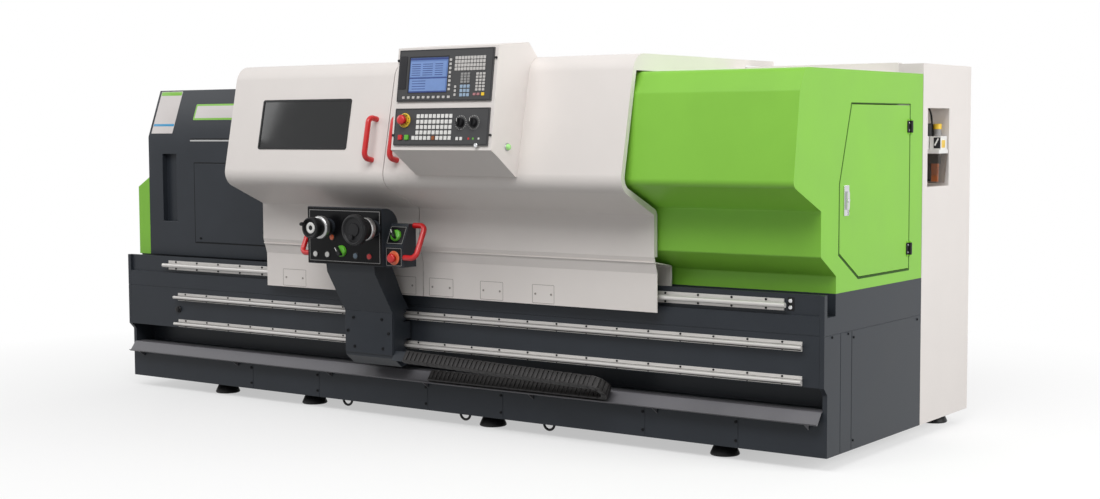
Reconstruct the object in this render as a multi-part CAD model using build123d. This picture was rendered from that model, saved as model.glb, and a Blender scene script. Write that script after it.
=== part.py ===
from build123d import *
import os
from math import atan2, cos, degrees, hypot, radians, sin, tan

# CNC flat-bed turning lathe with sliding guard doors, a pendant on the right door
# and a control station that slides along rails on the front of the base.
# x runs along the bed towards the tailstock, y from the lower front face to the rear,
# z up from the floor. Sizes are millimetres, angles are degrees.

# Overall sizes
machine_length = 3900
base_depth = 870
base_height = 620
foot_height = 55
sheet_thickness = 4
run_gap = 0.3
overrun = 10
seam_width = 3
seam_depth = 2

# Base stand and the beam along its front
end_plate_thickness = 20
beam_reach = 28
beam_thickness = 24
beam_height = 351
beam_chamfer_height = 29
beam_seam_drop = 154
rail_channel_depth = 12
rail_channel_height = 80
gutter_back = 65
gutter_depth = 85
cable_recess_depth = 120
cable_recess_height = 117
cable_recess_drop = 330
end_seam_inset = 110
base_margin_width = 150
base_roof_thickness = 40
base_rib_thickness = 60
base_cell_count = 4
panel_seam_shares = (-0.561, -0.338, 0.0, 0.215, 0.585, 0.805)

# Lip under the cable recess
lip_thickness = 3
lip_corner_reach = 8
lip_flange_width = 70
lip_angle = 52
lip_width = 56
lip_hook_height = 9
gusset_thickness = 4
gusset_shares = (-0.97, -0.62, -0.3, 0.0, 0.3, 0.62, 0.97)

# Levelling feet and lifting eyes
foot_pad_diameter = 120
foot_pad_height = 40
foot_taper_angle = 20
foot_stem_diameter = 36
foot_inset = 110
foot_side_count = 12
stem_side_count = 6
foot_shares = (-0.711, -0.407, 0.144, 0.743)
eye_ring_diameter = 54
eye_bar_width = 9
eye_side_count = 12
eye_inset = 30
eye_shares = (-0.26, 0.097, 0.329)

# Round rails on flanged supports: the pair for the control station and the lower one for the doors
rail_shaft_diameter = 20
rail_flange_width = 45
rail_flange_thickness = 6
rail_web_width = 9
rail_shaft_height = 27
rail_shaft_overhang = 16
lower_rail_drop = 324
upper_rail_drop = 193
station_rail_left_inset = 373
station_rail_right_inset = 77
door_rail_drop = 43
door_rail_left_inset = 296
door_rail_right_inset = 173

# Upper bar that the door shoes run on
top_bar_inset = 120
top_bar_width = 40
top_bar_thickness = 8
top_bar_left_inset = 300
top_bar_right_inset = 20

# Bed with its two ways
bed_back_gap = 65
bed_width = 350
bed_height = 90
bed_foot_thickness = 30
bed_wall_thickness = 70
way_height = 22
way_width = 46
bed_right_inset = 60
bed_rib_thickness = 30
bed_rib_count = 7

# Headstock, its cover and the belt cover on the left end
headstock_cover_front = 51
headstock_cover_left_inset = 82
headstock_cover_length = 1038
headstock_cover_height = 828
headstock_slope_height = 234
headstock_slope_run = 86
headstock_cover_back_gap = 40
grip_recess_inset = 103
grip_recess_width = 101
grip_recess_rise = 171
grip_recess_height = 338
grip_recess_depth = 30
hatch_inset = 337
hatch_width = 575
hatch_rise = 73
hatch_height = 389
hatch_thickness = 3
casting_left_gap = 228
casting_right_gap = 50
casting_front_gap = 90
casting_back_width = 240
casting_head_height = 245
casting_edge_radius = 40
belt_cover_back_inset = 179
belt_cover_outer_height = 341
belt_cover_inner_height = 390

# Spindle line, chuck and jaws
centre_height = 298
spindle_diameter = 160
spindle_bore_diameter = 82
spindle_tail_length = 80
nose_diameter = 220
nose_length = 60
chuck_diameter = 315
chuck_length = 115
chuck_bore_diameter = 90
chuck_edge_width = 6
jaw_slot_depth = 40
jaw_width = 40
jaw_length = 92
jaw_height = 55
jaw_step_length = 24
jaw_inner_radius = 58
jaw_count = 3

# Saddle, cross slide and tool post
saddle_inset = 455
saddle_length = 450
saddle_overhang = 55
saddle_thickness = 58
saddle_skirt_height = 30
slide_width = 190
slide_foot_width = 240
slide_front_gap = 116
slide_back_inset = 125
slide_thickness = 60
post_width = 190
post_height = 150
post_pedestal_height = 95
post_pedestal_diameter = 170
post_slot_height = 32
post_slot_depth = 34
post_back_inset = 240
post_nut_diameter = 40
post_nut_height = 26

# Tailstock
tailstock_inset = 940
tailstock_length = 330
tailstock_foot_thickness = 60
tailstock_column_width = 200
tailstock_barrel_diameter = 210
quill_diameter = 110
quill_length = 300
quill_reach = 90
centre_diameter = 60
centre_length = 105
centre_tip_diameter = 6

# Rear guard
rear_guard_inset = 230
rear_guard_headroom = 57
rear_guard_lip_width = 40
rear_guard_right_inset = 12
rear_guard_foot_width = 45

# Tailstock cover: reaches run forward from the lower front face, rises up from the base's top,
# and its headroom up from the underside of the bar on top
cover_length = 790
cover_headroom = 17
cover_top_reach = 196
cover_shoulder_reach = 238
cover_shoulder_drop = 84
cover_nose_reach = 286
cover_nose_rise = 414
cover_wall_reach = 62
cover_wall_rise = 316
cover_wall_foot_rise = 145
cover_foot_depth = 66
cover_foot_rise = 67
cover_roof_gap = 20
cover_edge_radius = 30
cover_back_gap = 4

# Access door in the right end of that cover, its hinges and its latch
access_gap = 3
access_front_depth = 90
access_back_inset = 134
access_top_front_depth = 190
access_top_drop = 128
access_bottom_rise = 48
access_wall_rise = 412
access_wall_foot_rise = 148
access_bottom_front_depth = 261
access_hinge_shares = (0.124, 0.867)
hinge_diameter = 14
hinge_length = 62
hinge_leaf_width = 22
hinge_leaf_thickness = 3
hinge_side_count = 12
latch_front_gap = 36
latch_width = 40
latch_rise = 292
latch_height = 114
latch_thickness = 4
latch_lever_width = 22
latch_lever_height = 70
latch_lever_thickness = 7
latch_boss_diameter = 16
latch_boss_height = 3

# Guard doors: reaches run forward from the lower front face, rises up from the base's top
door_lap = 81
left_door_width = 953
cover_lap = 84
door_gap = 4
door_roof_overhang = 330
door_headroom = 87
door_crown_reach = 235
door_nose_reach = 342
door_nose_rise = 396
door_wall_reach = 96
door_wall_rise = 286
door_wall_foot_rise = 119
skirt_reach = 74
skirt_rise = 52
skirt_drop = 102
crown_radius = 80
nose_radius = 70
fold_radius = 10
door_rim_depth = 24
splash_depth = 36
splash_rise = 97
splash_fall = 22
splash_drop = 35
window_inset = 198
window_width = 524
window_height = 214
window_middle_share = 0.489
window_thickness = 8
door_handle_inset = 70
door_handle_rise = 187
door_handle_span = 176
door_handle_stand = 52
handle_diameter = 24
handle_bend_radius = 26
handle_side_count = 8
handle_bend_steps = 3
runner_length = 70
runner_height = 50
runner_inset = 130
runner_mouth_height = 14
runner_bore_side_count = 8
shoe_length = 60
shoe_thickness = 12
shoe_hanger_thickness = 6

# Pendant on the right door, with its panels on the leaning front face
pendant_inset = 194
pendant_width = 514
pendant_wall_thickness = 6
pendant_headroom = 40
pendant_chin_rise = 90
pendant_chin_reach = 470
pendant_foot_rise = 108
pendant_foot_reach = 501
pendant_face_height = 412
pendant_top_reach = 444
pendant_back_height = 17
pendant_back_reach = 248
pendant_tail_reach = 190
panel_width = 483
panel_thickness = 8
display_height = 210
display_bottom = 196
screen_width = 206
screen_height = 150
screen_left_inset = 54
screen_bottom_inset = 32
screen_depth = 3
keypad_height = 150
keypad_bottom = 18
estop_head_diameter = 40
estop_head_height = 16
estop_stem_diameter = 24
estop_stem_height = 12
estop_stem_depth = 4
estop_side_count = 20
estop_collar_diameter = 54
estop_collar_height = 5
estop_taper_angle = 12
press_travel = 3
estop_left_inset = 54
estop_bottom_inset = 101
knob_diameter = 36
knob_height = 18
knob_grip_width = 10
knob_grip_height = 10
knob_side_count = 24
knob_cap_diameter = 6
knob_cap_height = 1
grip_length_share = 0.9
knob_bottom_inset = 91
spindle_knob_inset = 344
feed_knob_inset = 409
panel_key_width = 20
panel_key_height = 9
panel_key_seat_depth = 3
panel_key_bottom_inset = 32
stop_key_inset = 37
start_key_inset = 71

# Control station: reaches run forward from the lower front face, heights from the base's top
station_inset = 245
arm_width = 282
arm_rise = 41
arm_top_reach = 277
arm_neck_reach = 272
arm_neck_rise = 4
arm_face_reach = 155
arm_face_top_drop = 184
arm_face_bottom_drop = 377
arm_foot_reach = 101
arm_foot_drop = 420
arm_back_reach = 40
arm_back_foot_drop = 407
arm_back_bend_drop = 175
arm_back_clear_reach = 88
arm_back_clear_drop = 109
arm_back_top_reach = 163
arm_wall_thickness = 10
arm_pocket_bottom_drop = 375
arm_pocket_top_drop = 140
arm_pocket_reach = 84
arm_rail_clearance = 5
box_width = 436
box_height = 249
box_front_reach = 305
box_depth = 100
box_crown_radius = 84
box_plate_thickness = 4
box_plate_inset = 2
wing_width = 99
wing_height = 183
wing_bend_height = 92
wing_front_reach = 292
wing_lean_run = 42
station_handle_span = 150
station_handle_stand = 62
station_handle_rise = 109
station_handle_reach = 250
station_runner_spread = 92

# Handwheels, selectors and buttons of the control station, placed from its middle and its arm's top
wheel_rise = 164
left_wheel_offset = -87
right_wheel_offset = 175
wheel_bezel_diameter = 70
wheel_bezel_height = 14
left_wheel_diameter = 92
right_wheel_diameter = 132
wheel_ring_diameter = 100
wheel_ring_start = 34
wheel_side_count = 32
wheel_hub_diameter = 66
wheel_rim_length = 34
left_wheel_length = 112
right_wheel_length = 126
crank_diameter = 16
crank_length = 26
crank_inset = 12
selector_diameter = 50
selector_height = 16
selector_grip_width = 12
selector_grip_height = 20
front_selector_offset = -14
front_selector_rise = 60
button_diameter = 24
button_height = 10
button_seat_depth = 3
button_side_count = 16
button_rise = 42
white_button_1_offset = -169
white_button_2_offset = -99
blue_button_offset = 66
red_button_offset = 145
orange_button_offset = -70
orange_button_rise = 118
station_estop_rise = 40
wing_selector_rise = 45

# Cable chain: it lies on the sloping lip and folds over in a loop at its right end
link_pitch = 45
link_gap = 0.6
chain_width = 50
chain_margin_width = 2.5
link_height = 26
link_wall_thickness = 5
link_bar_share = 0.62
bend_radius = 46
loop_link_count = 4
chain_anchor_offset = 250
chain_anchor_length = 110
lower_link_count = 20
upper_link_count = 21
chain_climb_height = 62
chain_bracket_thickness = 5

# Electrical cabinet behind the tailstock end, and the lubricator in its side
cabinet_width = 1000
cabinet_depth = 520
cabinet_rise = 889
cabinet_door_thickness = 22
cabinet_door_rim_width = 30
cabinet_hinge_shares = (0.12, 0.88)
cabinet_plate_thickness = 6
cabinet_plate_inset = 60
cabinet_plate_stand = 30
recess_inset = 49
recess_width = 230
recess_rise = 376
recess_height = 329
recess_depth = 120
pump_inset = 5
pump_width = 98
pump_depth = 60
pump_height = 57
pump_lift_height = 154
pump_flange_thickness = 16
pump_flange_depth = 118
pump_edge_radius = 8
tank_height = 126
tank_depth = 98
tank_wall_gap = 3
tank_taper_angle = 4
cap_diameter = 55
cap_height = 52
cap_side_count = 12

# Heights and depths that several pieces share
half_length = machine_length / 2
base_top = foot_height + base_height
beam_bottom = base_top - beam_height
beam_back = beam_thickness - beam_reach
beam_seam_height = base_top - beam_seam_drop
door_rail_face = rail_channel_depth - beam_reach
door_rail_height = base_top - door_rail_drop
station_rail_heights = (base_top - lower_rail_drop, base_top - upper_rail_drop)
cable_recess_top = base_top - cable_recess_drop
cable_recess_floor = cable_recess_top - cable_recess_height
lip_top = cable_recess_floor + lip_thickness
rear_guard_front = base_depth - rear_guard_inset
bed_front = rear_guard_front - bed_back_gap - bed_width
bed_back = bed_front + bed_width
bed_top = base_top + bed_height
way_top = bed_top + way_height
top_bar_front = rear_guard_front - top_bar_inset
top_bar_back = top_bar_front + top_bar_width
top_bar_bottom = base_top + headstock_cover_height
top_bar_top = top_bar_bottom + top_bar_thickness
spindle_y = bed_front + bed_width / 2
spindle_height = way_top + centre_height
saddle_bottom = way_top + run_gap
slide_front = slide_front_gap - door_wall_reach
slide_back = bed_back - slide_back_inset
post_y = slide_back - post_back_inset
rear_guard_top = top_bar_bottom + rear_guard_headroom
cover_top = top_bar_bottom + cover_headroom
access_back = base_depth - access_back_inset
access_top = cover_top - access_top_drop
cabinet_back = base_depth + cabinet_depth
cabinet_bottom = foot_height
cabinet_top = base_top + cabinet_rise
door_top = top_bar_bottom + door_headroom
door_nose_height = base_top + door_nose_rise
door_roof_back = top_bar_back + door_roof_overhang
window_middle = door_nose_height + window_middle_share * (door_top - door_nose_height)
pendant_top = door_top + pendant_headroom
pendant_foot = pendant_top - pendant_face_height
pendant_tip = pendant_foot - pendant_foot_rise
arm_top = base_top + arm_rise
button_places = {
    "white_button_1": (white_button_1_offset, button_rise),
    "white_button_2": (white_button_2_offset, button_rise),
    "blue_button": (blue_button_offset, button_rise),
    "red_button": (red_button_offset, button_rise),
    "orange_button": (orange_button_offset, orange_button_rise),
}

# Places along the bed that several pieces share
headstock_cover_left = headstock_cover_left_inset - half_length
headstock_cover_right = headstock_cover_left + headstock_cover_length
casting_left = headstock_cover_left + casting_left_gap
casting_right = headstock_cover_right - casting_right_gap
spindle_left = casting_left - spindle_tail_length
nose_right = headstock_cover_right + nose_length
saddle_left = headstock_cover_right + saddle_inset
saddle_x = saddle_left + saddle_length / 2
tailstock_left = half_length - tailstock_inset
cover_left = half_length - cover_length
door_left = headstock_cover_right - door_lap
door_split = door_left + left_door_width
door_right = cover_left + cover_lap
pendant_left = door_split + pendant_inset
station_x = door_split - station_inset
wing_x = station_x + box_width / 2 + wing_width / 2
chain_anchor_x = station_x + chain_anchor_offset
loop_x = chain_anchor_x + lower_link_count * link_pitch
cabinet_left = half_length - cabinet_width


# Small helpers for outlines and blocks
def block(x, y, z):
    """Box that spans three (low, high) pairs."""
    spans = (x, y, z)
    middle = [(low + high) / 2 for low, high in spans]
    return Pos(*middle) * Box(*[high - low for low, high in spans])


def prism_x(points, x0, x1):
    """Closed outline in the y-z plane, run from x0 to x1."""
    face = make_face(Polyline(*points, close=True))
    return extrude(Plane.YZ.offset(x0) * face, x1 - x0, dir=(1, 0, 0))


def folded_x(points, radii, depth, x0, x1):
    """Sheet of the given depth folded along an open y-z outline, run from x0 to x1."""
    path = FilletPolyline(*points, radius=radii)
    band = make_face(offset(path, depth, side=Side.LEFT))
    return extrude(Plane.YZ.offset(x0) * band, x1 - x0, dir=(1, 0, 0))


def turned(points, axis):
    """Solid turned from (radius, along) points about an axis given as a plane."""
    face = make_face(Polyline(*points, close=True))
    return axis * revolve(Plane.XZ * face, Axis.Z)


def spindle_axis(x):
    """Plane whose normal runs along +x through the spindle line."""
    return Plane(origin=(x, spindle_y, spindle_height), x_dir=(0, 1, 0), z_dir=(1, 0, 0))


def facing_front(x, reach, z):
    """Plane on a front face, with its normal towards the operator."""
    return Plane(origin=(x, -reach, z), x_dir=(1, 0, 0), z_dir=(0, -1, 0))


def lip_frame(x=0):
    """Plane on the lip: x along the bed, y up the slope, z out of the slope."""
    slope = radians(lip_angle)
    normal = (0, -sin(slope), cos(slope))
    return Plane(origin=(x, -lip_corner_reach, lip_top), x_dir=(1, 0, 0), z_dir=normal)


def leaning_frame(top, foot, x):
    """Plane at the foot of a leaning front face given by two (reach, height) points."""
    rise = (0, foot[0] - top[0], top[1] - foot[1])
    return Plane(origin=(x, -foot[0], foot[1]), x_dir=(1, 0, 0), z_dir=(0, -rise[2], rise[1]))


def door_face(x, z):
    """Plane on the leaning door face at a height."""
    share = (door_top - z) / (door_top - door_nose_height)
    reach = door_crown_reach + share * (door_nose_reach - door_crown_reach)
    return leaning_frame((door_crown_reach, door_top), (reach, z), x)


def bridge_handle(span, stand):
    """Bent bar handle: feet on the x-y plane at y = -span/2 and span/2, grip at height stand."""
    corner_y, corner_z = span / 2 - handle_bend_radius, stand - handle_bend_radius
    bend = []
    for step in range(handle_bend_steps + 1):
        turn = radians(90 * step / handle_bend_steps)
        bend.append((corner_y + handle_bend_radius * cos(turn), corner_z + handle_bend_radius * sin(turn)))
    right = [(span / 2, 0)] + bend
    points = [(0, -y, z) for y, z in right] + [(0, y, z) for y, z in reversed(right)]
    section = Plane.XY * Pos(0, -span / 2) * RegularPolygon(handle_diameter / 2, handle_side_count)
    return sweep(section, path=Polyline(*points), transition=Transition.RIGHT)


def hinge_half(frame, moving):
    """One half of a butt hinge: x towards the moving leaf, y out of the faces, z along the pin."""
    side = 1 if moving else -1
    face = -hinge_diameter / 2
    leaf_y = (face, face + hinge_leaf_thickness)
    inner, outer = sorted((side * hinge_diameter / 2, side * hinge_leaf_width))
    half = block((inner, outer), leaf_y, (-hinge_length / 2, hinge_length / 2))
    third = hinge_length / 3
    radius = hinge_diameter / 2 - run_gap
    zones = (0,) if moving else (-third, third)
    for middle in zones:
        zone = (middle - third / 2 + run_gap / 2, middle + third / 2 - run_gap / 2)
        bridge_x = sorted((0, side * hinge_diameter / 2))
        half += block(bridge_x, leaf_y, zone)
        barrel = Circle(radius) if moving else RegularPolygon(radius, hinge_side_count)
        half += Pos(0, 0, middle) * extrude(barrel, (third - run_gap) / 2, both=True)
    return frame * half


# Base
def base_outline():
    """Front to back section of the stand, with the cable recess and the coolant gutter."""
    return [
        (0, foot_height),
        (base_depth, foot_height),
        (base_depth, base_top),
        (gutter_back, base_top),
        (gutter_back, base_top - gutter_depth),
        (beam_back, base_top - gutter_depth),
        (beam_back, cable_recess_top),
        (cable_recess_depth, cable_recess_top),
        (cable_recess_depth, cable_recess_floor),
        (0, cable_recess_floor),
    ]


def end_outline():
    """Section of the end plates, which also close the ends of the front beam."""
    return [
        (0, foot_height),
        (base_depth, foot_height),
        (base_depth, base_top),
        (gutter_back, base_top),
        (gutter_back, base_top - gutter_depth),
        (beam_back, base_top - gutter_depth),
        (beam_back, base_top),
        (-beam_reach, base_top),
        (-beam_reach, beam_bottom),
        (0, beam_bottom - beam_chamfer_height),
    ]


def base_stand():
    inner_end = half_length - end_plate_thickness
    stand = prism_x(base_outline(), -inner_end, inner_end)
    for low, high in ((-half_length, -inner_end), (inner_end, half_length)):
        stand += prism_x(end_outline(), low, high)
    cell_pitch = (2 * inner_end - base_rib_thickness) / base_cell_count
    for number in range(base_cell_count):
        x = base_rib_thickness - inner_end + number * cell_pitch
        stand -= block((x, x + cell_pitch - base_rib_thickness),
                       (base_margin_width, base_depth - base_margin_width),
                       (foot_height - overrun, base_top - base_roof_thickness))
    for share in panel_seam_shares:
        x = share * half_length
        stand -= block((x - seam_width / 2, x + seam_width / 2), (-overrun, seam_depth),
                       (foot_height - overrun, lip_top - lip_width))
    for x in (-half_length, half_length):
        ends = (x - seam_depth, x + seam_depth)
        stand -= block(ends, (-beam_reach - overrun, base_depth + overrun),
                       (beam_seam_height - seam_width / 2, beam_seam_height + seam_width / 2))
        stand -= block(ends, (end_seam_inset, end_seam_inset + seam_width),
                       (foot_height - overrun, beam_seam_height))
    return stand


def front_beam():
    """Beam along the front with the channel for the lower door rail."""
    outline = [
        (-beam_reach, beam_bottom),
        (-beam_reach, base_top - rail_channel_height),
        (door_rail_face, base_top - rail_channel_height),
        (door_rail_face, base_top),
        (beam_back, base_top),
        (beam_back, beam_bottom),
    ]
    inner_end = half_length - end_plate_thickness
    beam = prism_x(outline, -inner_end, inner_end)
    return beam - block((-half_length, half_length), (-beam_reach - overrun, seam_depth - beam_reach),
                        (beam_seam_height - seam_width / 2, beam_seam_height + seam_width / 2))


def drip_lip():
    """Sloping lip that carries the chain, with gussets behind it."""
    slope = radians(lip_angle)
    down = Vector(-cos(slope), -sin(slope))
    out = Vector(-sin(slope), cos(slope))
    corner = Vector(-lip_corner_reach, lip_top)
    edge = corner + down * lip_width
    hook = edge + out * lip_hook_height
    back = Vector(lip_flange_width - lip_corner_reach, lip_top)
    end = half_length - end_plate_thickness
    outline = [(point.X, point.Y) for point in (back, corner, edge, hook)]
    lip = folded_x(outline, 0, lip_thickness, -end, end)
    behind = corner - out * lip_thickness
    low = edge - out * lip_thickness
    for share in gusset_shares:
        x = share * end
        sides = [(0, behind.Y), (behind.X, behind.Y), (low.X, low.Y), (0, low.Y - lip_width / 2)]
        lip += prism_x(sides, x - gusset_thickness / 2, x + gusset_thickness / 2)
    return [lip, chain_anchor()]


def support_rail(left, right, height, face):
    """Round shaft on a flanged support, fixed to a front face at y = face."""
    def across(low, high, half_width):
        return block((left, right), (face - high, face - low), (height - half_width, height + half_width))
    shaft_plane = Plane(origin=(left - rail_shaft_overhang, face - rail_shaft_height, height),
                        x_dir=(0, 1, 0), z_dir=(1, 0, 0))
    shaft = extrude(shaft_plane * Circle(rail_shaft_diameter / 2), right - left + 2 * rail_shaft_overhang)
    rail = across(0, rail_flange_thickness, rail_flange_width / 2)
    rail += across(0, rail_shaft_height, rail_web_width / 2)
    return rail + shaft


def station_rails():
    left = station_rail_left_inset - half_length
    right = half_length - station_rail_right_inset
    return [support_rail(left, right, height, -beam_reach) for height in station_rail_heights]


def door_rails():
    """Lower round rail and the flat bar on top that guides the doors."""
    left = door_rail_left_inset - half_length
    right = half_length - door_rail_right_inset
    lower = support_rail(left, right, door_rail_height, door_rail_face)
    upper = block((top_bar_left_inset - half_length, half_length - top_bar_right_inset),
                  (top_bar_front, top_bar_back), (top_bar_bottom, top_bar_top))
    return [lower, upper]


def levelling_feet():
    """Tapered pads with hexagonal stems under the base and under the rear of the cabinet."""
    pad = extrude(RegularPolygon(foot_pad_diameter / 2, foot_side_count), foot_pad_height,
                  taper=foot_taper_angle)
    foot = pad + extrude(RegularPolygon(foot_stem_diameter / 2, stem_side_count), foot_height)
    rows = (foot_inset, base_depth - foot_inset)
    feet = [Pos(share * half_length, y, 0) * foot for y in rows for share in foot_shares]
    for x in (cabinet_left + foot_inset, half_length - foot_inset):
        feet.append(Pos(x, cabinet_back - foot_inset, 0) * foot)
    return feet


def lifting_eyes():
    """Half-ring eyes under the front edge."""
    outer, inner = (eye_ring_diameter + eye_bar_width) / 2, (eye_ring_diameter - eye_bar_width) / 2
    ring = RegularPolygon(outer, eye_side_count) - RegularPolygon(inner, eye_side_count)
    eye = Rot(90, 0, 0) * extrude(ring, eye_bar_width / 2, both=True)
    eye &= block((-outer, outer), (-outer, outer), (-outer, 0))
    return [Pos(share * half_length, eye_inset, foot_height) * eye for share in eye_shares]


# Bed and headstock
def way_outline(y):
    """Raised vee of one way, centred on y."""
    half = way_width / 2
    return [(y - half, bed_top), (y + half, bed_top), (y + half / 3, way_top), (y - half / 3, way_top)]


def way_lines():
    return (bed_front + bed_wall_thickness / 2, bed_back - bed_wall_thickness / 2)


def bed():
    """Two walls on a foot, joined by ribs, with a raised way on each wall."""
    left, right = headstock_cover_right, half_length - bed_right_inset
    body = block((left, right), (bed_front, bed_back), (base_top, base_top + bed_foot_thickness))
    for low in (bed_front, bed_back - bed_wall_thickness):
        body += block((left, right), (low, low + bed_wall_thickness), (base_top, bed_top))
    for y in way_lines():
        body += prism_x(way_outline(y), left, right)
    pitch = (right - left - bed_rib_thickness) / (bed_rib_count - 1)
    for place in range(bed_rib_count):
        x = left + place * pitch
        body += block((x, x + bed_rib_thickness), (bed_front, bed_back), (base_top, bed_top))
    return body


def headstock_casting():
    """Cast headstock with the spindle bore and a bearing cap on its nose side."""
    body = block((casting_left, casting_right),
                 (headstock_cover_front + casting_front_gap, spindle_y + casting_back_width),
                 (base_top, spindle_height + casting_head_height))
    body = fillet(body.edges().filter_by(Axis.X).group_by(Axis.Z)[-1], casting_edge_radius)
    cap_length = headstock_cover_right - casting_right
    cap = extrude(spindle_axis(casting_right) * Circle(nose_diameter / 2), cap_length)
    bore = extrude(spindle_axis(casting_left - overrun) * Circle(spindle_diameter / 2 + run_gap),
                   headstock_cover_right - casting_left + 2 * overrun)
    return body + cap - bore


def headstock_cover_outline(inset):
    """Section of the headstock cover, moved in by a wall."""
    front = headstock_cover_front + inset
    slope_length = hypot(headstock_slope_run, headstock_slope_height)
    slope_tangent = headstock_slope_run / headstock_slope_height
    edge_drop = inset * (slope_length / headstock_slope_run - 1 / slope_tangent)
    top = top_bar_bottom - inset
    slope_foot = top_bar_bottom - headstock_slope_height - edge_drop
    back = base_depth - headstock_cover_back_gap - inset
    return [
        (front, base_top),
        (front, slope_foot),
        (front + (top - slope_foot) * slope_tangent, top),
        (back, top),
        (back, base_top),
    ]


def headstock_cover():
    """Sheet cover over the headstock: closed at both ends, open below, with a grip recess."""
    cover = prism_x(headstock_cover_outline(0), headstock_cover_left, headstock_cover_right)
    cover -= prism_x(headstock_cover_outline(sheet_thickness), headstock_cover_left + sheet_thickness,
                     headstock_cover_right - sheet_thickness)
    hole_plane = spindle_axis(headstock_cover_right - overrun)
    nose_hole = extrude(hole_plane * Circle(nose_diameter / 2), 2 * overrun)
    grip_left = headstock_cover_left + grip_recess_inset
    grip_bottom = base_top + grip_recess_rise
    grip_x = (grip_left, grip_left + grip_recess_width)
    grip_z = (grip_bottom, grip_bottom + grip_recess_height)
    front = headstock_cover_front
    pocket = block(grip_x, (front - overrun, front + grip_recess_depth), grip_z)
    tub = block((grip_x[0] - sheet_thickness, grip_x[1] + sheet_thickness),
                (front, front + grip_recess_depth + sheet_thickness),
                (grip_z[0] - sheet_thickness, grip_z[1] + sheet_thickness))
    return cover - nose_hole + tub - pocket


def headstock_hatch():
    """Screwed plate on the front of the headstock cover."""
    left, bottom = headstock_cover_left + hatch_inset, base_top + hatch_rise
    plate = block((left, left + hatch_width),
                  (headstock_cover_front - hatch_thickness, headstock_cover_front),
                  (bottom, bottom + hatch_height))
    return chamfer(plate.faces().sort_by(Axis.Y)[0].edges(), hatch_thickness / 2)


def belt_cover():
    """Hollow cover over the belt drive, with a sloping top."""
    back = base_depth - belt_cover_back_inset

    def outline(inset):
        return [
            (-half_length + inset, base_top),
            (-half_length + inset, base_top + belt_cover_outer_height - inset),
            (headstock_cover_left, base_top + belt_cover_inner_height - inset),
            (headstock_cover_left, base_top),
        ]

    def run(inset):
        face = Plane.XZ * make_face(Polyline(*outline(inset), close=True))
        depth = back - headstock_cover_front - 2 * inset
        return extrude(Pos(0, back - inset, 0) * face, depth, dir=(0, -1, 0))
    return run(0) - run(sheet_thickness)


# Spindle, chuck and jaws
def spindle():
    """Hollow spindle with a flanged nose."""
    shaft = spindle_diameter / 2
    length = nose_right - spindle_left
    points = [
        (spindle_bore_diameter / 2, 0),
        (shaft, 0),
        (shaft, length - nose_length + run_gap),
        (nose_diameter / 2, length - nose_length + run_gap),
        (nose_diameter / 2, length),
        (spindle_bore_diameter / 2, length),
    ]
    return turned(points, spindle_axis(spindle_left))


def jaw_turn(number):
    """Rotation of one jaw about the spindle line."""
    return Rot(0, 0, 360 / jaw_count * number)


def chuck_body():
    """Three-jaw chuck with radial slots."""
    rim = chuck_diameter / 2
    points = [
        (chuck_bore_diameter / 2, 0),
        (rim, 0),
        (rim, chuck_length - chuck_edge_width),
        (rim - chuck_edge_width, chuck_length),
        (chuck_bore_diameter / 2, chuck_length),
    ]
    body = turned(points, Plane.XY)
    for number in range(jaw_count):
        half = jaw_width / 2 + run_gap
        slot = block((0, rim + overrun), (-half, half),
                     (chuck_length - jaw_slot_depth, chuck_length + overrun))
        body -= jaw_turn(number) * slot
    return spindle_axis(nose_right) * body


def chuck_jaw(number):
    """Stepped jaw that slides in its radial slot."""
    half = jaw_width / 2
    foot = chuck_length - jaw_slot_depth
    inner, outer = jaw_inner_radius, jaw_inner_radius + jaw_length
    jaw = block((inner, outer), (-half, half), (foot, chuck_length + jaw_height / 2))
    jaw += block((inner, outer - jaw_step_length * 2), (-half, half),
                 (foot, chuck_length + jaw_height - jaw_step_length / 2))
    jaw += block((inner, outer - jaw_step_length * 3), (-half, half), (foot, chuck_length + jaw_height))
    return spindle_axis(nose_right) * jaw_turn(number) * jaw


# Saddle and tool post
def saddle():
    """Bridge over the ways with a skirt in front and a dovetail across its top."""
    left, right = saddle_left, saddle_left + saddle_length
    front, back = bed_front - saddle_overhang, bed_back + saddle_overhang
    top = saddle_bottom + saddle_thickness
    body = block((left, right), (front, back), (saddle_bottom, top))
    for low in (front, back - saddle_overhang + run_gap):
        body += block((left, right), (low, low + saddle_overhang - run_gap),
                      (saddle_bottom - saddle_skirt_height, top))
    outline = [
        (saddle_x - slide_width / 2, top),
        (saddle_x + slide_width / 2, top),
        (saddle_x + slide_foot_width / 2, top + slide_thickness / 2),
        (saddle_x - slide_foot_width / 2, top + slide_thickness / 2),
    ]
    dovetail = Plane.XZ * make_face(Polyline(*outline, close=True))
    return body + extrude(Pos(0, back, 0) * dovetail, back - front, dir=(0, -1, 0))


def cross_slide():
    """Plate over the dovetail; it keeps a running gap to the saddle."""
    low = saddle_bottom + saddle_thickness + slide_thickness / 2 + run_gap
    half = slide_foot_width / 2
    plate = block((saddle_x - half, saddle_x + half), (slide_front, slide_back),
                  (low, low + slide_thickness / 2))
    pedestal = Pos(saddle_x, post_y, low + slide_thickness / 2 + post_pedestal_height / 2)
    return plate + pedestal * Cylinder(post_pedestal_diameter / 2, post_pedestal_height)


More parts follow.
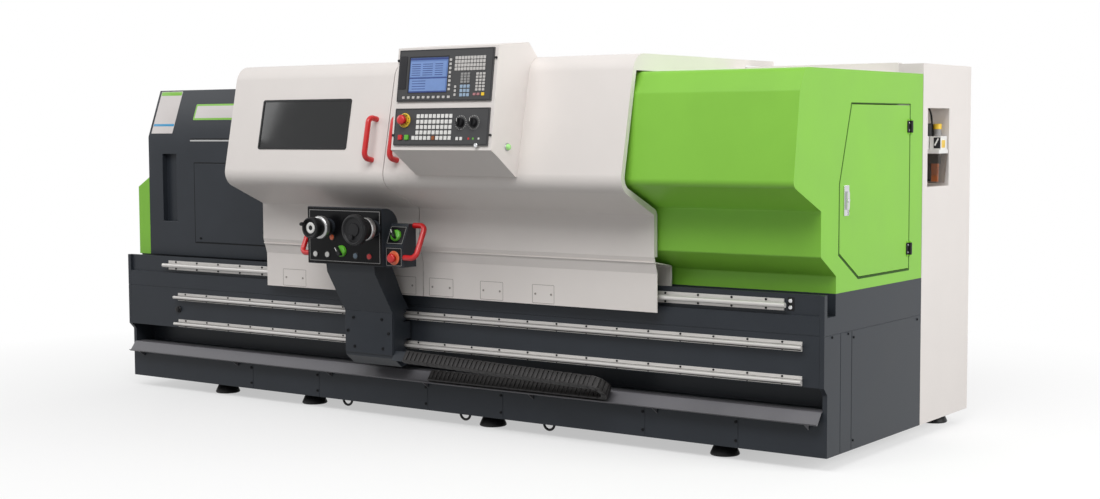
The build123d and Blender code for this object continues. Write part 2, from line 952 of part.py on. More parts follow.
def tool_post():
    """Square four-way tool post with a tool slot along each side and a clamp nut on top."""
    low = saddle_bottom + saddle_thickness + slide_thickness + post_pedestal_height + 2 * run_gap
    half = post_width / 2
    body = Box(post_width, post_width, post_height)
    for number in range(4):
        slot = Pos(half, 0, 0) * Box(2 * post_slot_depth, post_width + overrun, post_slot_height)
        body -= Rot(0, 0, 90 * number) * slot
    nut = Pos(0, 0, post_height / 2 + post_nut_height / 2)
    body += nut * extrude(RegularPolygon(post_nut_diameter / 2, 6), post_nut_height / 2, both=True)
    return Pos(saddle_x, post_y, low + post_height / 2) * body


# Tailstock
def tailstock_body():
    """Foot on the ways, a column and a barrel with the quill bore."""
    left, right = tailstock_left, tailstock_left + tailstock_length
    half = tailstock_column_width / 2
    foot = block((left, right), (bed_front, bed_back),
                 (saddle_bottom, saddle_bottom + tailstock_foot_thickness))
    column = block((left, right), (spindle_y - half, spindle_y + half), (saddle_bottom, spindle_height))
    barrel = extrude(spindle_axis(left) * Circle(tailstock_barrel_diameter / 2), tailstock_length)
    bore = extrude(spindle_axis(left - overrun) * Circle(quill_diameter / 2 + run_gap),
                   quill_length - quill_reach + overrun)
    return foot + column + barrel - bore


def tailstock_quill():
    """Sliding quill with a dead centre in its end."""
    quill, neck = quill_diameter / 2, centre_diameter / 2
    points = [
        (0, 0),
        (quill, 0),
        (quill, quill_length - run_gap),
        (neck, quill_length - run_gap),
        (centre_tip_diameter / 2, quill_length + centre_length),
        (0, quill_length + centre_length),
    ]
    axis = Plane(origin=(tailstock_left - quill_reach + quill_length, spindle_y, spindle_height),
                 x_dir=(0, 1, 0), z_dir=(-1, 0, 0))
    return turned(points, axis)


# Guards
def rear_guard():
    """Wall behind the work space with a ledge for the upper bar and a folded top edge."""
    left = headstock_cover_right
    right = half_length - rear_guard_right_inset
    outline = [
        (rear_guard_front + rear_guard_foot_width, base_top),
        (rear_guard_front + rear_guard_foot_width, base_top + sheet_thickness),
        (rear_guard_front + sheet_thickness, base_top + sheet_thickness),
        (rear_guard_front + sheet_thickness, rear_guard_top - sheet_thickness),
        (rear_guard_front + rear_guard_lip_width, rear_guard_top - sheet_thickness),
        (rear_guard_front + rear_guard_lip_width, rear_guard_top),
        (rear_guard_front, rear_guard_top),
        (rear_guard_front, top_bar_bottom),
        (top_bar_front, top_bar_bottom),
        (top_bar_front, top_bar_bottom - sheet_thickness),
        (rear_guard_front, top_bar_bottom - sheet_thickness),
        (rear_guard_front, base_top),
    ]
    return prism_x(outline, left, right)


def cover_outline():
    """Open outline of the tailstock cover from the roof's back edge to its foot."""
    return [
        (top_bar_front - cover_roof_gap, cover_top),
        (-cover_top_reach, cover_top),
        (-cover_shoulder_reach, cover_top - cover_shoulder_drop),
        (-cover_nose_reach, base_top + cover_nose_rise),
        (-cover_wall_reach, base_top + cover_wall_rise),
        (-cover_wall_reach, base_top + cover_wall_foot_rise),
        (cover_foot_depth, base_top + cover_foot_rise),
        (cover_foot_depth, base_top),
    ]


def access_outline(inset):
    """Outline of the access door, moved in by a gap from the hole's edge."""
    return [
        (access_top_front_depth + inset, access_top - inset),
        (access_back - inset, access_top - inset),
        (access_back - inset, base_top + access_bottom_rise + inset),
        (access_bottom_front_depth + inset, base_top + access_bottom_rise + inset),
        (access_front_depth + inset, base_top + access_wall_foot_rise + inset),
        (access_front_depth + inset, base_top + access_wall_rise - inset),
    ]


def tailstock_cover():
    """Folded cover over the tailstock end, with an end wall that has the access hole."""
    radii = [cover_edge_radius, cover_edge_radius, cover_edge_radius] + [fold_radius] * 3
    points = cover_outline()
    cover = folded_x(points, radii, sheet_thickness, cover_left, half_length - sheet_thickness)
    path = FilletPolyline(*points, radius=radii)
    back = base_depth - cover_back_gap
    closing = Polyline(points[-1], (back, base_top), (back, cover_top), points[0])
    wall = make_face(path.edges() + closing.edges())
    cover += extrude(Plane.YZ.offset(half_length - sheet_thickness) * wall, sheet_thickness, dir=(1, 0, 0))
    cover -= prism_x(access_outline(0), half_length - overrun, half_length + overrun)
    for share in access_hinge_shares:
        cover += hinge_half(access_pivot(share), False)
    return cover


def access_pivot(share):
    """Frame of one hinge of the access door, at a share of its height."""
    bottom = base_top + access_bottom_rise
    height = bottom + share * (access_top - bottom)
    return Plane(origin=(half_length + hinge_diameter / 2, access_back, height),
                 x_dir=(0, -1, 0), z_dir=(0, 0, 1))


def access_door():
    """Flush door with two barrel hinges on its rear edge."""
    door = prism_x(access_outline(access_gap), half_length - sheet_thickness, half_length)
    for share in access_hinge_shares:
        door += hinge_half(access_pivot(share), True)
    y, z = latch_pivot()
    seat = block((half_length, half_length + latch_thickness), (y - latch_width / 2, y + latch_width / 2),
                 (z - latch_height / 2, z + latch_height / 2))
    return door + seat


def latch_pivot():
    """Middle of the latch, as y and z."""
    return (access_front_depth + latch_front_gap + latch_width / 2,
            base_top + latch_rise + latch_height / 2)


def access_latch():
    """Lever of the access door's latch; it turns on its seat."""
    y, z = latch_pivot()
    low = half_length + latch_thickness + run_gap
    lever = block((low, low + latch_lever_thickness),
                  (y - latch_lever_width / 2, y + latch_lever_width / 2),
                  (z - latch_lever_height / 2, z + latch_lever_height / 2))
    lever = chamfer(lever.edges().filter_by(Axis.X), latch_lever_width / 4)
    boss_plane = Plane(origin=(low + latch_lever_thickness, y, z), x_dir=(0, 1, 0), z_dir=(1, 0, 0))
    return lever + extrude(boss_plane * Circle(latch_boss_diameter / 2), latch_boss_height)


# Doors
def door_points():
    """Open outline of the door from the roof's back edge to the foot of the skirt."""
    return [
        (door_roof_back, door_top),
        (-door_crown_reach, door_top),
        (-door_nose_reach, door_nose_height),
        (-door_wall_reach, base_top + door_wall_rise),
        (-door_wall_reach, base_top + door_wall_foot_rise),
        (-skirt_reach, base_top + skirt_rise),
        (-skirt_reach, base_top - skirt_drop),
    ]


def door_radii():
    return [crown_radius, nose_radius, fold_radius, fold_radius, fold_radius]


def door_shape(x0, x1):
    """All the room behind the outer face of a door."""
    path = FilletPolyline(*door_points(), radius=door_radii())
    closing = Polyline(door_points()[-1], (door_roof_back, base_top - skirt_drop), door_points()[0])
    face = make_face(path.edges() + closing.edges())
    return extrude(Plane.YZ.offset(x0) * face, x1 - x0, dir=(1, 0, 0))


def door_sheet(x0, x1, rim_x):
    """Folded door with a rim and a gable at its outer edge and a splash sheet behind the beam."""
    door = folded_x(door_points(), door_radii(), sheet_thickness, x0, x1)
    rim_points = door_points()[:5]
    rim = (rim_x, rim_x + sheet_thickness)
    door += folded_x(rim_points, door_radii()[:3], door_rim_depth, *rim)
    door += door_shape(*rim) & block(rim, (-door_crown_reach, rear_guard_front - door_gap),
                                     (cover_top + door_gap, door_top))
    splash = [
        (sheet_thickness / 2 - door_wall_reach, base_top + splash_rise),
        (splash_depth, base_top + splash_rise - splash_fall),
        (splash_depth, base_top - splash_drop),
    ]
    return door + folded_x(splash, fold_radius, sheet_thickness, x0, x1)


def bearing_block(x, front, face, height):
    """Bearing block round a rail's shaft, open towards the face that carries the rail."""
    shaft_y = face - rail_shaft_height
    length = (x - runner_length / 2, x + runner_length / 2)
    through = (length[0] - overrun, length[1] + overrun)
    half, mouth = runner_height / 2, runner_mouth_height / 2
    body = block(length, (front, shaft_y + rail_shaft_diameter / 4), (height - half, height + half))
    bore_plane = Plane(origin=(through[0], shaft_y, height), x_dir=(0, 1, 0), z_dir=(1, 0, 0))
    bore = RegularPolygon(rail_shaft_diameter / 2 + run_gap, runner_bore_side_count, major_radius=False)
    body -= extrude(bore_plane * bore, through[1] - through[0])
    return body - block(through, (shaft_y, face), (height - mouth, height + mouth))


def door_runners(x0, x1):
    """Bearing blocks on the lower rail and guide shoes on the upper bar."""
    pieces = []
    low, high = top_bar_top + run_gap, door_top - sheet_thickness
    hanger_y = (top_bar_back - shoe_hanger_thickness, top_bar_back)
    for x in (x0 + runner_inset, x1 - runner_inset):
        pieces.append(bearing_block(x, sheet_thickness - skirt_reach, door_rail_face, door_rail_height))
        shoe_x = (x - shoe_length / 2, x + shoe_length / 2)
        shoe = block(shoe_x, (top_bar_front, top_bar_back), (low, low + shoe_thickness))
        pieces.append(shoe + block(shoe_x, hanger_y, (low, high)))
    return pieces


def window_block(front):
    """Block that fills the window, from the back of the pane to a height over the door's face."""
    frame = door_face(door_left + window_inset + window_width / 2, window_middle)
    depth = window_thickness + front
    return frame * Pos(0, 0, front - depth / 2) * Box(window_width, window_height, depth)


def left_door():
    x0, x1 = door_left, door_split - door_gap / 2
    return [door_sheet(x0, x1, x0) - window_block(overrun)] + door_runners(x0, x1)


def window_pane():
    return window_block(0)


def door_handle(side):
    """Red bridge handle beside the split, side -1 on the left door and 1 on the right."""
    frame = door_face(door_split + side * door_handle_inset, door_nose_height + door_handle_rise)
    return frame * bridge_handle(door_handle_span, door_handle_stand)


def right_door():
    x0, x1 = door_split + door_gap / 2, door_right
    return [door_sheet(x0, x1, x1 - sheet_thickness)] + door_runners(x0, x1)


# Pendant
def pendant_frame(x=0, y=0, lift=0):
    """Plane on the pendant's leaning face, from its lower left corner of the panels."""
    left = pendant_left + (pendant_width - panel_width) / 2
    frame = leaning_frame((pendant_top_reach, pendant_top), (pendant_foot_reach, pendant_foot), left)
    return frame * Pos(x, y, lift)


def pendant_box():
    """Sheet box on the right door, cut to the door's face."""
    outline = [
        (-pendant_top_reach, pendant_top),
        (-pendant_foot_reach, pendant_foot),
        (-pendant_chin_reach, pendant_tip + pendant_chin_rise),
        (-door_nose_reach, pendant_tip),
        (-pendant_tail_reach, pendant_tip),
        (-pendant_tail_reach, door_top),
        (-pendant_back_reach, pendant_top + pendant_back_height),
    ]
    x0, x1 = pendant_left, pendant_left + pendant_width
    face = make_face(Polyline(*outline, close=True))
    inside = offset(face, -pendant_wall_thickness, kind=Kind.INTERSECTION)
    hollow = extrude(Plane.YZ.offset(x0 + pendant_wall_thickness) * inside,
                     pendant_width - 2 * pendant_wall_thickness, dir=(1, 0, 0))
    return prism_x(outline, x0, x1) - hollow - door_shape(x0 - overrun, x1 + overrun)


def panel_plate(bottom, height):
    return pendant_frame(panel_width / 2, bottom + height / 2, panel_thickness / 2) * Box(
        panel_width, height, panel_thickness)


def display_unit():
    """Display plate with a sunk screen."""
    screen = pendant_frame(screen_left_inset + screen_width / 2,
                           display_bottom + screen_bottom_inset + screen_height / 2,
                           panel_thickness)
    return panel_plate(display_bottom, display_height) - screen * Box(
        screen_width, screen_height, 2 * screen_depth)


def keypad_unit():
    """Key plate with the collar of the stop button."""
    collar = extrude(RegularPolygon(estop_collar_diameter / 2, estop_side_count), -estop_collar_height)
    plate = panel_plate(keypad_bottom, keypad_height) + estop_place() * collar
    plate -= estop_place() * stem_seat()
    for x in (stop_key_inset, start_key_inset):
        seat = panel_key_width + 2 * run_gap
        depth = panel_key_seat_depth + press_travel + run_gap
        plate -= panel_key_place(x) * Box(seat, seat, 2 * depth)
    return plate


def stem_seat():
    """Hole for a stop button's stem, deep enough for its travel."""
    depth = estop_stem_depth + press_travel + run_gap
    outline = RegularPolygon(estop_stem_diameter / 2 + run_gap, stem_side_count)
    return Pos(0, 0, -depth) * extrude(outline, overrun + depth)


def mushroom():
    """Stop button's tapered head on its hexagonal stem, standing on the x-y plane."""
    stem = extrude(RegularPolygon(estop_stem_diameter / 2, stem_side_count),
                   estop_stem_depth + estop_stem_height)
    head = extrude(RegularPolygon(estop_head_diameter / 2, estop_side_count), estop_head_height,
                   taper=estop_taper_angle)
    return Pos(0, 0, -estop_stem_depth) * stem + Pos(0, 0, estop_stem_height) * head


def estop_place():
    return pendant_frame(estop_left_inset, keypad_bottom + estop_bottom_inset,
                         panel_thickness + estop_collar_height)


def pendant_estop():
    return estop_place() * mushroom()


def grip_knob(diameter, height, grip_width, grip_height):
    """Knob with a fluted skirt, a raised grip bar and a round cap on it, standing on the x-y plane."""
    skirt = extrude(RegularPolygon(diameter / 2, knob_side_count), height)
    bar = Pos(0, 0, height + grip_height / 2) * Box(grip_width, diameter * grip_length_share, grip_height)
    bar = chamfer(bar.edges().filter_by(Axis.Z), grip_width / 4)
    cap = Pos(0, 0, height + grip_height) * extrude(Circle(knob_cap_diameter / 2), knob_cap_height)
    return Pos(0, 0, run_gap) * (skirt + bar + cap)


def override_knob(x):
    knob = grip_knob(knob_diameter, knob_height, knob_grip_width, knob_grip_height)
    return pendant_frame(x, keypad_bottom + knob_bottom_inset, panel_thickness) * knob


def panel_key_place(x):
    return pendant_frame(x, keypad_bottom + panel_key_bottom_inset, panel_thickness)


def panel_key(x):
    """Square push button sunk in the key plate."""
    cap = Pos(0, 0, panel_key_height / 2 - panel_key_seat_depth) * Box(
        panel_key_width, panel_key_width, panel_key_height)
    return panel_key_place(x) * cap


# Control station
def arm_outline():
    """Section of the arm that carries the station box in front of the doors."""
    return [
        (-arm_top_reach, arm_top),
        (-arm_neck_reach, base_top + arm_neck_rise),
        (-arm_face_reach, base_top - arm_face_top_drop),
        (-arm_face_reach, base_top - arm_face_bottom_drop),
        (-arm_foot_reach, base_top - arm_foot_drop),
        (-arm_back_reach, base_top - arm_back_foot_drop),
        (-arm_back_reach, base_top - arm_back_bend_drop),
        (-arm_back_clear_reach, base_top - arm_back_clear_drop),
        (-arm_back_top_reach, arm_top),
    ]


def station_span():
    return (station_x - arm_width / 2, station_x + arm_width / 2)


def station_arm():
    """Folded arm, pocketed at the back round the rails and their bearing blocks."""
    low, high = station_span()
    arm = prism_x(arm_outline(), low, high)
    pocket_y = (-arm_pocket_reach, overrun)
    arm -= block((low + arm_wall_thickness, high - arm_wall_thickness), pocket_y,
                 (base_top - arm_pocket_bottom_drop, base_top - arm_pocket_top_drop))
    half = rail_flange_width / 2 + arm_rail_clearance
    for height in station_rail_heights:
        arm -= block((low - overrun, high + overrun), pocket_y, (height - half, height + half))
    return [arm] + station_runners() + [chain_bracket()]


def station_runners():
    """Four bearing blocks on the two front rails."""
    places = (station_x - station_runner_spread, station_x + station_runner_spread)
    return [bearing_block(x, -arm_pocket_reach, -beam_reach, height)
            for height in station_rail_heights for x in places]


def station_box():
    """Box with a round back edge, a plate on its front, and a wing with a bent face on its right."""
    x0, x1 = station_x - box_width / 2, station_x + box_width / 2
    back = box_depth - box_front_reach
    body = block((x0, x1), (-box_front_reach, back), (arm_top, arm_top + box_height))
    crown = body.edges().filter_by(Axis.X).group_by(Axis.Z)[-1].sort_by(Axis.Y)[-1]
    body = fillet(crown, box_crown_radius)
    body += block((x0 + box_plate_inset, x1 - box_plate_inset),
                  (-box_front_reach - box_plate_thickness, -box_front_reach),
                  (arm_top + box_plate_inset, arm_top + box_height - box_plate_inset))
    wing = [
        (-wing_front_reach, arm_top),
        (-wing_front_reach, arm_top + wing_bend_height),
        (wing_lean_run - wing_front_reach, arm_top + wing_height),
        (back, arm_top + wing_height),
        (back, arm_top),
    ]
    body += prism_x(wing, x1, x1 + wing_width)
    for offset_x in (left_wheel_offset, right_wheel_offset):
        bezel = station_face(offset_x, wheel_rise)
        outline = RegularPolygon(wheel_bezel_diameter / 2, wheel_side_count)
        body += bezel * extrude(outline, wheel_bezel_height)
    seat_depth = button_seat_depth + press_travel + run_gap
    seat = RegularPolygon(button_diameter / 2 + run_gap, button_side_count)
    for offset_x, rise in button_places.values():
        body -= station_face(offset_x, rise) * extrude(seat, seat_depth, both=True)
    return body - station_estop_place() * stem_seat()


def station_face(offset_x, rise):
    """Plane on the station's front plate, placed from the station's middle and its arm's top."""
    return facing_front(station_x + offset_x, box_front_reach + box_plate_thickness, arm_top + rise)


def station_handles():
    """Red bridge handles on the outer sides of the box and of the wing."""
    pieces = []
    sides = ((-1, station_x - box_width / 2), (1, station_x + box_width / 2 + wing_width))
    for side, x in sides:
        frame = Plane(origin=(x, -station_handle_reach, arm_top + station_handle_rise),
                      x_dir=(0, side, 0), z_dir=(side, 0, 0))
        pieces.append(frame * bridge_handle(station_handle_span, station_handle_stand))
    return pieces


def handwheel(offset_x, diameter, length, with_crank):
    """Handwheel: round hub, ring and rim with many flats, and a crank pin on one of them."""
    ring, rim = wheel_ring_diameter / 2, diameter / 2
    rim_start = length - wheel_rim_length
    wheel = Pos(0, 0, run_gap) * extrude(Circle(wheel_hub_diameter / 2), wheel_ring_start - run_gap)
    wheel += Pos(0, 0, wheel_ring_start) * extrude(RegularPolygon(ring, wheel_side_count),
                                                   rim_start - wheel_ring_start)
    wheel += Pos(0, 0, rim_start) * extrude(RegularPolygon(rim, wheel_side_count), wheel_rim_length)
    if with_crank:
        pin = extrude(RegularPolygon(crank_diameter / 2, button_side_count), crank_length)
        wheel += Pos(crank_inset - rim, 0, length) * pin
    return station_face(offset_x, wheel_rise) * Pos(0, 0, wheel_bezel_height) * wheel


def station_selector():
    return grip_knob(selector_diameter, selector_height, selector_grip_width, selector_grip_height)


def front_selector():
    return station_face(front_selector_offset, front_selector_rise) * station_selector()


def wing_frame(rise):
    """Plane on the wing's leaning upper face."""
    top = (wing_front_reach - wing_lean_run, arm_top + wing_height)
    foot = (wing_front_reach, arm_top + wing_bend_height)
    return leaning_frame(top, foot, wing_x) * Pos(0, rise, 0)


def wing_selector():
    return wing_frame(wing_selector_rise) * station_selector()


def station_estop_place():
    return facing_front(wing_x, wing_front_reach, arm_top + station_estop_rise)


def station_estop():
    return station_estop_place() * mushroom()


def push_button(offset_x, rise):
    """Push button sunk in the station's front plate."""
    cap = extrude(RegularPolygon(button_diameter / 2, button_side_count), button_height)
    return station_face(offset_x, rise) * Pos(0, 0, -button_seat_depth) * cap


# Cable chain
def chain_link():
    """One link along +x from 0, centred on its width and height: a tube with open bars at its ends."""
    length = link_pitch - link_gap
    middle = Pos(length / 2, 0, 0)
    link = middle * Box(length, chain_width, link_height)
    inside_width = chain_width - 2 * link_wall_thickness
    link -= middle * Box(length + overrun, inside_width, link_height - 2 * link_wall_thickness)
    gap = length * (1 - link_bar_share)
    for side in (-1, 1):
        window = Box(gap, inside_width, link_height / 2)
        link -= Pos(length, 0, side * link_height / 2) * window
    return link


def chain_middle():
    """Offset of the chain's middle down the slope."""
    return -chain_margin_width - chain_width / 2


def chain_lower_run():
    """Links that lie on the lip, from their anchor to the loop."""
    height = link_height / 2 + run_gap
    frame = lip_frame()
    return [frame * Pos(chain_anchor_x + number * link_pitch, chain_middle(), height) * chain_link()
            for number in range(lower_link_count)]


def chain_loop():
    """Links of the bend, as wedges set round the bend's axis."""
    sector = 180 / loop_link_count
    spare = degrees(link_gap / bend_radius)

    def wedge(height, width, angle):
        """Straight-sided sector of the bend about +x."""
        inner, outer = bend_radius - height / 2, bend_radius + height / 2
        half = radians(angle / 2)
        corners = [(radius * cos(turn), radius * sin(turn))
                   for radius, turn in ((inner, -half), (outer, -half), (outer, half), (inner, half))]
        return extrude(Plane.XZ * make_face(Polyline(*corners, close=True)), width / 2, both=True)

    link = wedge(link_height, chain_width, sector - spare)
    link -= wedge(link_height - 2 * link_wall_thickness, chain_width - 2 * link_wall_thickness, sector)
    axis = lip_frame() * Pos(loop_x, chain_middle(), link_height / 2 + run_gap + bend_radius)
    return [axis * Rot(0, (number + 0.5) * sector - 90, 0) * link for number in range(loop_link_count)]


def chain_upper_run():
    """Links from the loop back to the station; the run rises towards the station."""
    run = upper_link_count * link_pitch
    low = link_height / 2 + run_gap + 2 * bend_radius
    tilt = degrees(atan2(chain_climb_height, run))
    start = lip_frame() * Pos(loop_x, chain_middle(), low) * Rot(0, tilt, 0)
    return [start * Pos(-(number + 1) * link_pitch, 0, 0) * chain_link()
            for number in range(upper_link_count)]


def chain_anchor():
    """Plate on the lip that holds the end of the lower run."""
    right = chain_anchor_x - link_gap
    plate = Pos(right - chain_anchor_length / 2, chain_middle(), chain_bracket_thickness / 2)
    return lip_frame() * plate * Box(chain_anchor_length, chain_width, chain_bracket_thickness)


def chain_bracket():
    """Plate on the arm's side that holds the end of the upper run."""
    high = station_span()[1]
    run = upper_link_count * link_pitch
    end = loop_x - run * cos(atan2(chain_climb_height, run)) - link_gap
    height = link_height / 2 + run_gap + 2 * bend_radius + chain_climb_height
    frame = lip_frame() * Pos(0, chain_middle(), height)
    plate = Pos((high + end) / 2, 0, 0) * Box(end - high, chain_width, chain_bracket_thickness)
    return frame * plate


# Electrical cabinet
def electrical_cabinet():
    """Sheet cabinet, open at the rear for its door, with a recess for the lubricator."""
    x = (cabinet_left, half_length)
    y = (base_depth, cabinet_back - cabinet_door_thickness - run_gap)
    z = (cabinet_bottom, cabinet_top)
    cabinet = block(x, y, z)
    cabinet -= block((x[0] + sheet_thickness, x[1] - sheet_thickness),
                     (y[0] + sheet_thickness, y[1] + overrun),
                     (z[0] + sheet_thickness, z[1] - sheet_thickness))
    pocket_y = (base_depth + recess_inset, base_depth + recess_inset + recess_width)
    pocket_z = (base_top + recess_rise, base_top + recess_rise + recess_height)
    cabinet += block((half_length - recess_depth - sheet_thickness, half_length),
                     (pocket_y[0] - sheet_thickness, pocket_y[1] + sheet_thickness),
                     (pocket_z[0] - sheet_thickness, pocket_z[1] + sheet_thickness))
    cabinet -= block((half_length - recess_depth, half_length + overrun), pocket_y, pocket_z)
    for share in cabinet_hinge_shares:
        cabinet += hinge_half(cabinet_pivot(share), False)
    return cabinet


def cabinet_pivot(share):
    """Frame of one hinge of the cabinet door, at a share of its height."""
    height = cabinet_bottom + share * (cabinet_top - cabinet_bottom)
    seam = cabinet_back - cabinet_door_thickness - run_gap / 2
    return Plane(origin=(cabinet_left - hinge_diameter / 2, seam, height), x_dir=(0, 1, 0), z_dir=(0, 0, 1))


def cabinet_plate():
    """Mounting plate on two feet at the cabinet's front wall."""
    x = (cabinet_left + cabinet_plate_inset, half_length - recess_depth - cabinet_plate_inset)
    z = (cabinet_bottom + cabinet_plate_inset, cabinet_top - cabinet_plate_inset)
    front = base_depth + sheet_thickness
    back = front + cabinet_plate_stand
    plate = block(x, (back, back + cabinet_plate_thickness), z)
    for low in (x[0], x[1] - cabinet_plate_stand):
        plate += block((low, low + cabinet_plate_stand), (front, back), z)
    return plate


def cabinet_door():
    """Folded rear door with barrel hinges on its left edge."""
    y = (cabinet_back - cabinet_door_thickness, cabinet_back)
    door = block((cabinet_left, half_length), y, (cabinet_bottom, cabinet_top))
    door -= block((cabinet_left + cabinet_door_rim_width, half_length - cabinet_door_rim_width),
                  (y[0] - overrun, y[1] - sheet_thickness),
                  (cabinet_bottom + cabinet_door_rim_width, cabinet_top - cabinet_door_rim_width))
    for share in cabinet_hinge_shares:
        door += hinge_half(cabinet_pivot(share), True)
    return door


def lubricator():
    """Pump block on the recess's back wall, with a filler cap on top and a flange for the tank below."""
    pump = Pos(pump_depth / 2, 0, pump_height / 2) * Box(pump_depth, pump_width, pump_height)
    pump = fillet(pump.edges().filter_by(Axis.Z), pump_edge_radius)
    pump += Pos(pump_flange_depth / 2, 0, -pump_flange_thickness / 2) * Box(
        pump_flange_depth, pump_width, pump_flange_thickness)
    cap = extrude(RegularPolygon(cap_diameter / 2, cap_side_count), cap_height)
    return lubricator_place() * (pump + Pos(pump_depth / 2, 0, pump_height) * cap)


def lubricator_place():
    """Middle of the pump's lower rear edge."""
    back = base_depth + recess_inset + recess_width
    return Pos(half_length - recess_depth, back - pump_inset - pump_width / 2,
               base_top + recess_rise + pump_lift_height)


def lubricator_tank():
    """Clear tank under the pump's flange, tapered towards its foot."""
    inset = tank_height * tan(radians(tank_taper_angle))

    def taper(mouth):
        half = mouth / 2
        return make_face(Polyline((-half, 0), (half, 0), (half - inset, -tank_height),
                                  (inset - half, -tank_height), close=True))

    width = pump_width - tank_wall_gap
    along = extrude(Plane.XZ * taper(tank_depth), width / 2, both=True)
    across = extrude(Plane.YZ * taper(width), tank_depth / 2, both=True)
    middle = pump_flange_depth - (tank_depth + tank_wall_gap) / 2
    return lubricator_place() * Pos(middle, 0, -pump_flange_thickness) * (along & across)


nodes = {
    "base_stand": base_stand(),
    "front_beam": front_beam(),
    "drip_lip": drip_lip(),
    "station_rails": station_rails(),
    "door_rails": door_rails(),
    "levelling_feet": levelling_feet(),
    "lifting_eyes": lifting_eyes(),
    "bed": bed(),
    "headstock_casting": headstock_casting(),
    "headstock_cover": headstock_cover(),
    "headstock_hatch": headstock_hatch(),
    "belt_cover": belt_cover(),
    "rear_guard": rear_guard(),
    "tailstock_cover": tailstock_cover(),
    "access_door": access_door(),
    "access_latch": access_latch(),
    "electrical_cabinet": electrical_cabinet(),
    "cabinet_plate": cabinet_plate(),
    "cabinet_door": cabinet_door(),
    "lubricator": lubricator(),
    "lubricator_tank": lubricator_tank(),
    "spindle": spindle(),
    "chuck_body": chuck_body(),
    "saddle": saddle(),
    "cross_slide": cross_slide(),
    "tool_post": tool_post(),
    "tailstock_body": tailstock_body(),
    "tailstock_quill": tailstock_quill(),
    "left_door": left_door(),
    "window_pane": window_pane(),
    "left_door_handle": door_handle(-1),
    "right_door": right_door(),
    "right_door_handle": door_handle(1),
    "pendant_box": pendant_box(),
    "display_unit": display_unit(),
    "keypad_unit": keypad_unit(),
    "pendant_estop": pendant_estop(),
    "feed_knob": override_knob(feed_knob_inset),
    "spindle_knob": override_knob(spindle_knob_inset),
    "stop_key": panel_key(stop_key_inset),
    "start_key": panel_key(start_key_inset),
    "station_arm": station_arm(),
    "station_box": station_box(),
    "station_handles": station_handles(),
    "left_handwheel": handwheel(left_wheel_offset, left_wheel_diameter, left_wheel_length, True),
    "right_handwheel": handwheel(right_wheel_offset, right_wheel_diameter, right_wheel_length, False),
    "front_selector": front_selector(),
    "wing_selector": wing_selector(),
    "station_estop": station_estop(),
    "chain_lower_run": chain_lower_run(),
    "chain_loop": chain_loop(),
    "chain_upper_run": chain_upper_run(),
}
for number in range(jaw_count):
    nodes[f"chuck_jaw_{number + 1}"] = chuck_jaw(number)
for name, place in button_places.items():
    nodes[name] = push_button(*place)

# The origin is on the floor in the middle of the machine's outer box
shapes = {name: Compound(piece) if isinstance(piece, list) else piece for name, piece in nodes.items()}
boxes = [shape.bounding_box() for shape in shapes.values()]
middle_x = (min(box.min.X for box in boxes) + max(box.max.X for box in boxes)) / 2
middle_y = (min(box.min.Y for box in boxes) + max(box.max.Y for box in boxes)) / 2

os.makedirs("parts", exist_ok=True)
for name, shape in shapes.items():
    export_step(Pos(-middle_x, -middle_y, 0) * shape, f"parts/{name}.step")
print(f"{len(nodes)} nodes, moved by {-middle_x:.3f}, {-middle_y:.3f}")
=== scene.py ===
from math import atan2, cos, pi, radians, sin

import bmesh
import bpy
from mathutils import Matrix, Vector


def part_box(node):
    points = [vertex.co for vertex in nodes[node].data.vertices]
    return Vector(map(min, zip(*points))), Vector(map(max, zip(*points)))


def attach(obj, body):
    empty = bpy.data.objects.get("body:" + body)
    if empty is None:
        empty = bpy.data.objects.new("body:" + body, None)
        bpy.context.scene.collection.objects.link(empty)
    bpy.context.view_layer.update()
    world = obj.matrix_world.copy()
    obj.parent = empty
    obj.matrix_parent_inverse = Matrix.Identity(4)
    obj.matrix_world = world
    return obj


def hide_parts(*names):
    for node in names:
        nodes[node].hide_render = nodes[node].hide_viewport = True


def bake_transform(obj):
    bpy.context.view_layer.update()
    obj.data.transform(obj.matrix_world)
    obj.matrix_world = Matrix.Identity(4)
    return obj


# Looks of a CNC flat-bed turning lathe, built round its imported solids.
# Sizes are millimetres in the machine's own frame: x from the middle of the base towards the tailstock,
# y from the base's lower front face to the rear, z up from the floor. Angles are degrees.

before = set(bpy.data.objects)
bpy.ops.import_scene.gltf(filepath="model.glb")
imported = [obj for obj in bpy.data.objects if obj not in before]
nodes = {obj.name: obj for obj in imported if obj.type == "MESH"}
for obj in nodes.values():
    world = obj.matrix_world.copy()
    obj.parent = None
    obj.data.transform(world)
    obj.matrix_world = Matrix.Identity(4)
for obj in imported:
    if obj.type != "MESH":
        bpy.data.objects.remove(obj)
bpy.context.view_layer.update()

MM = 0.001
base_depth = 870
base_low, base_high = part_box("base_stand")
machine_origin = Vector(((base_low.x + base_high.x) / 2, base_high.y - base_depth * MM, 0))

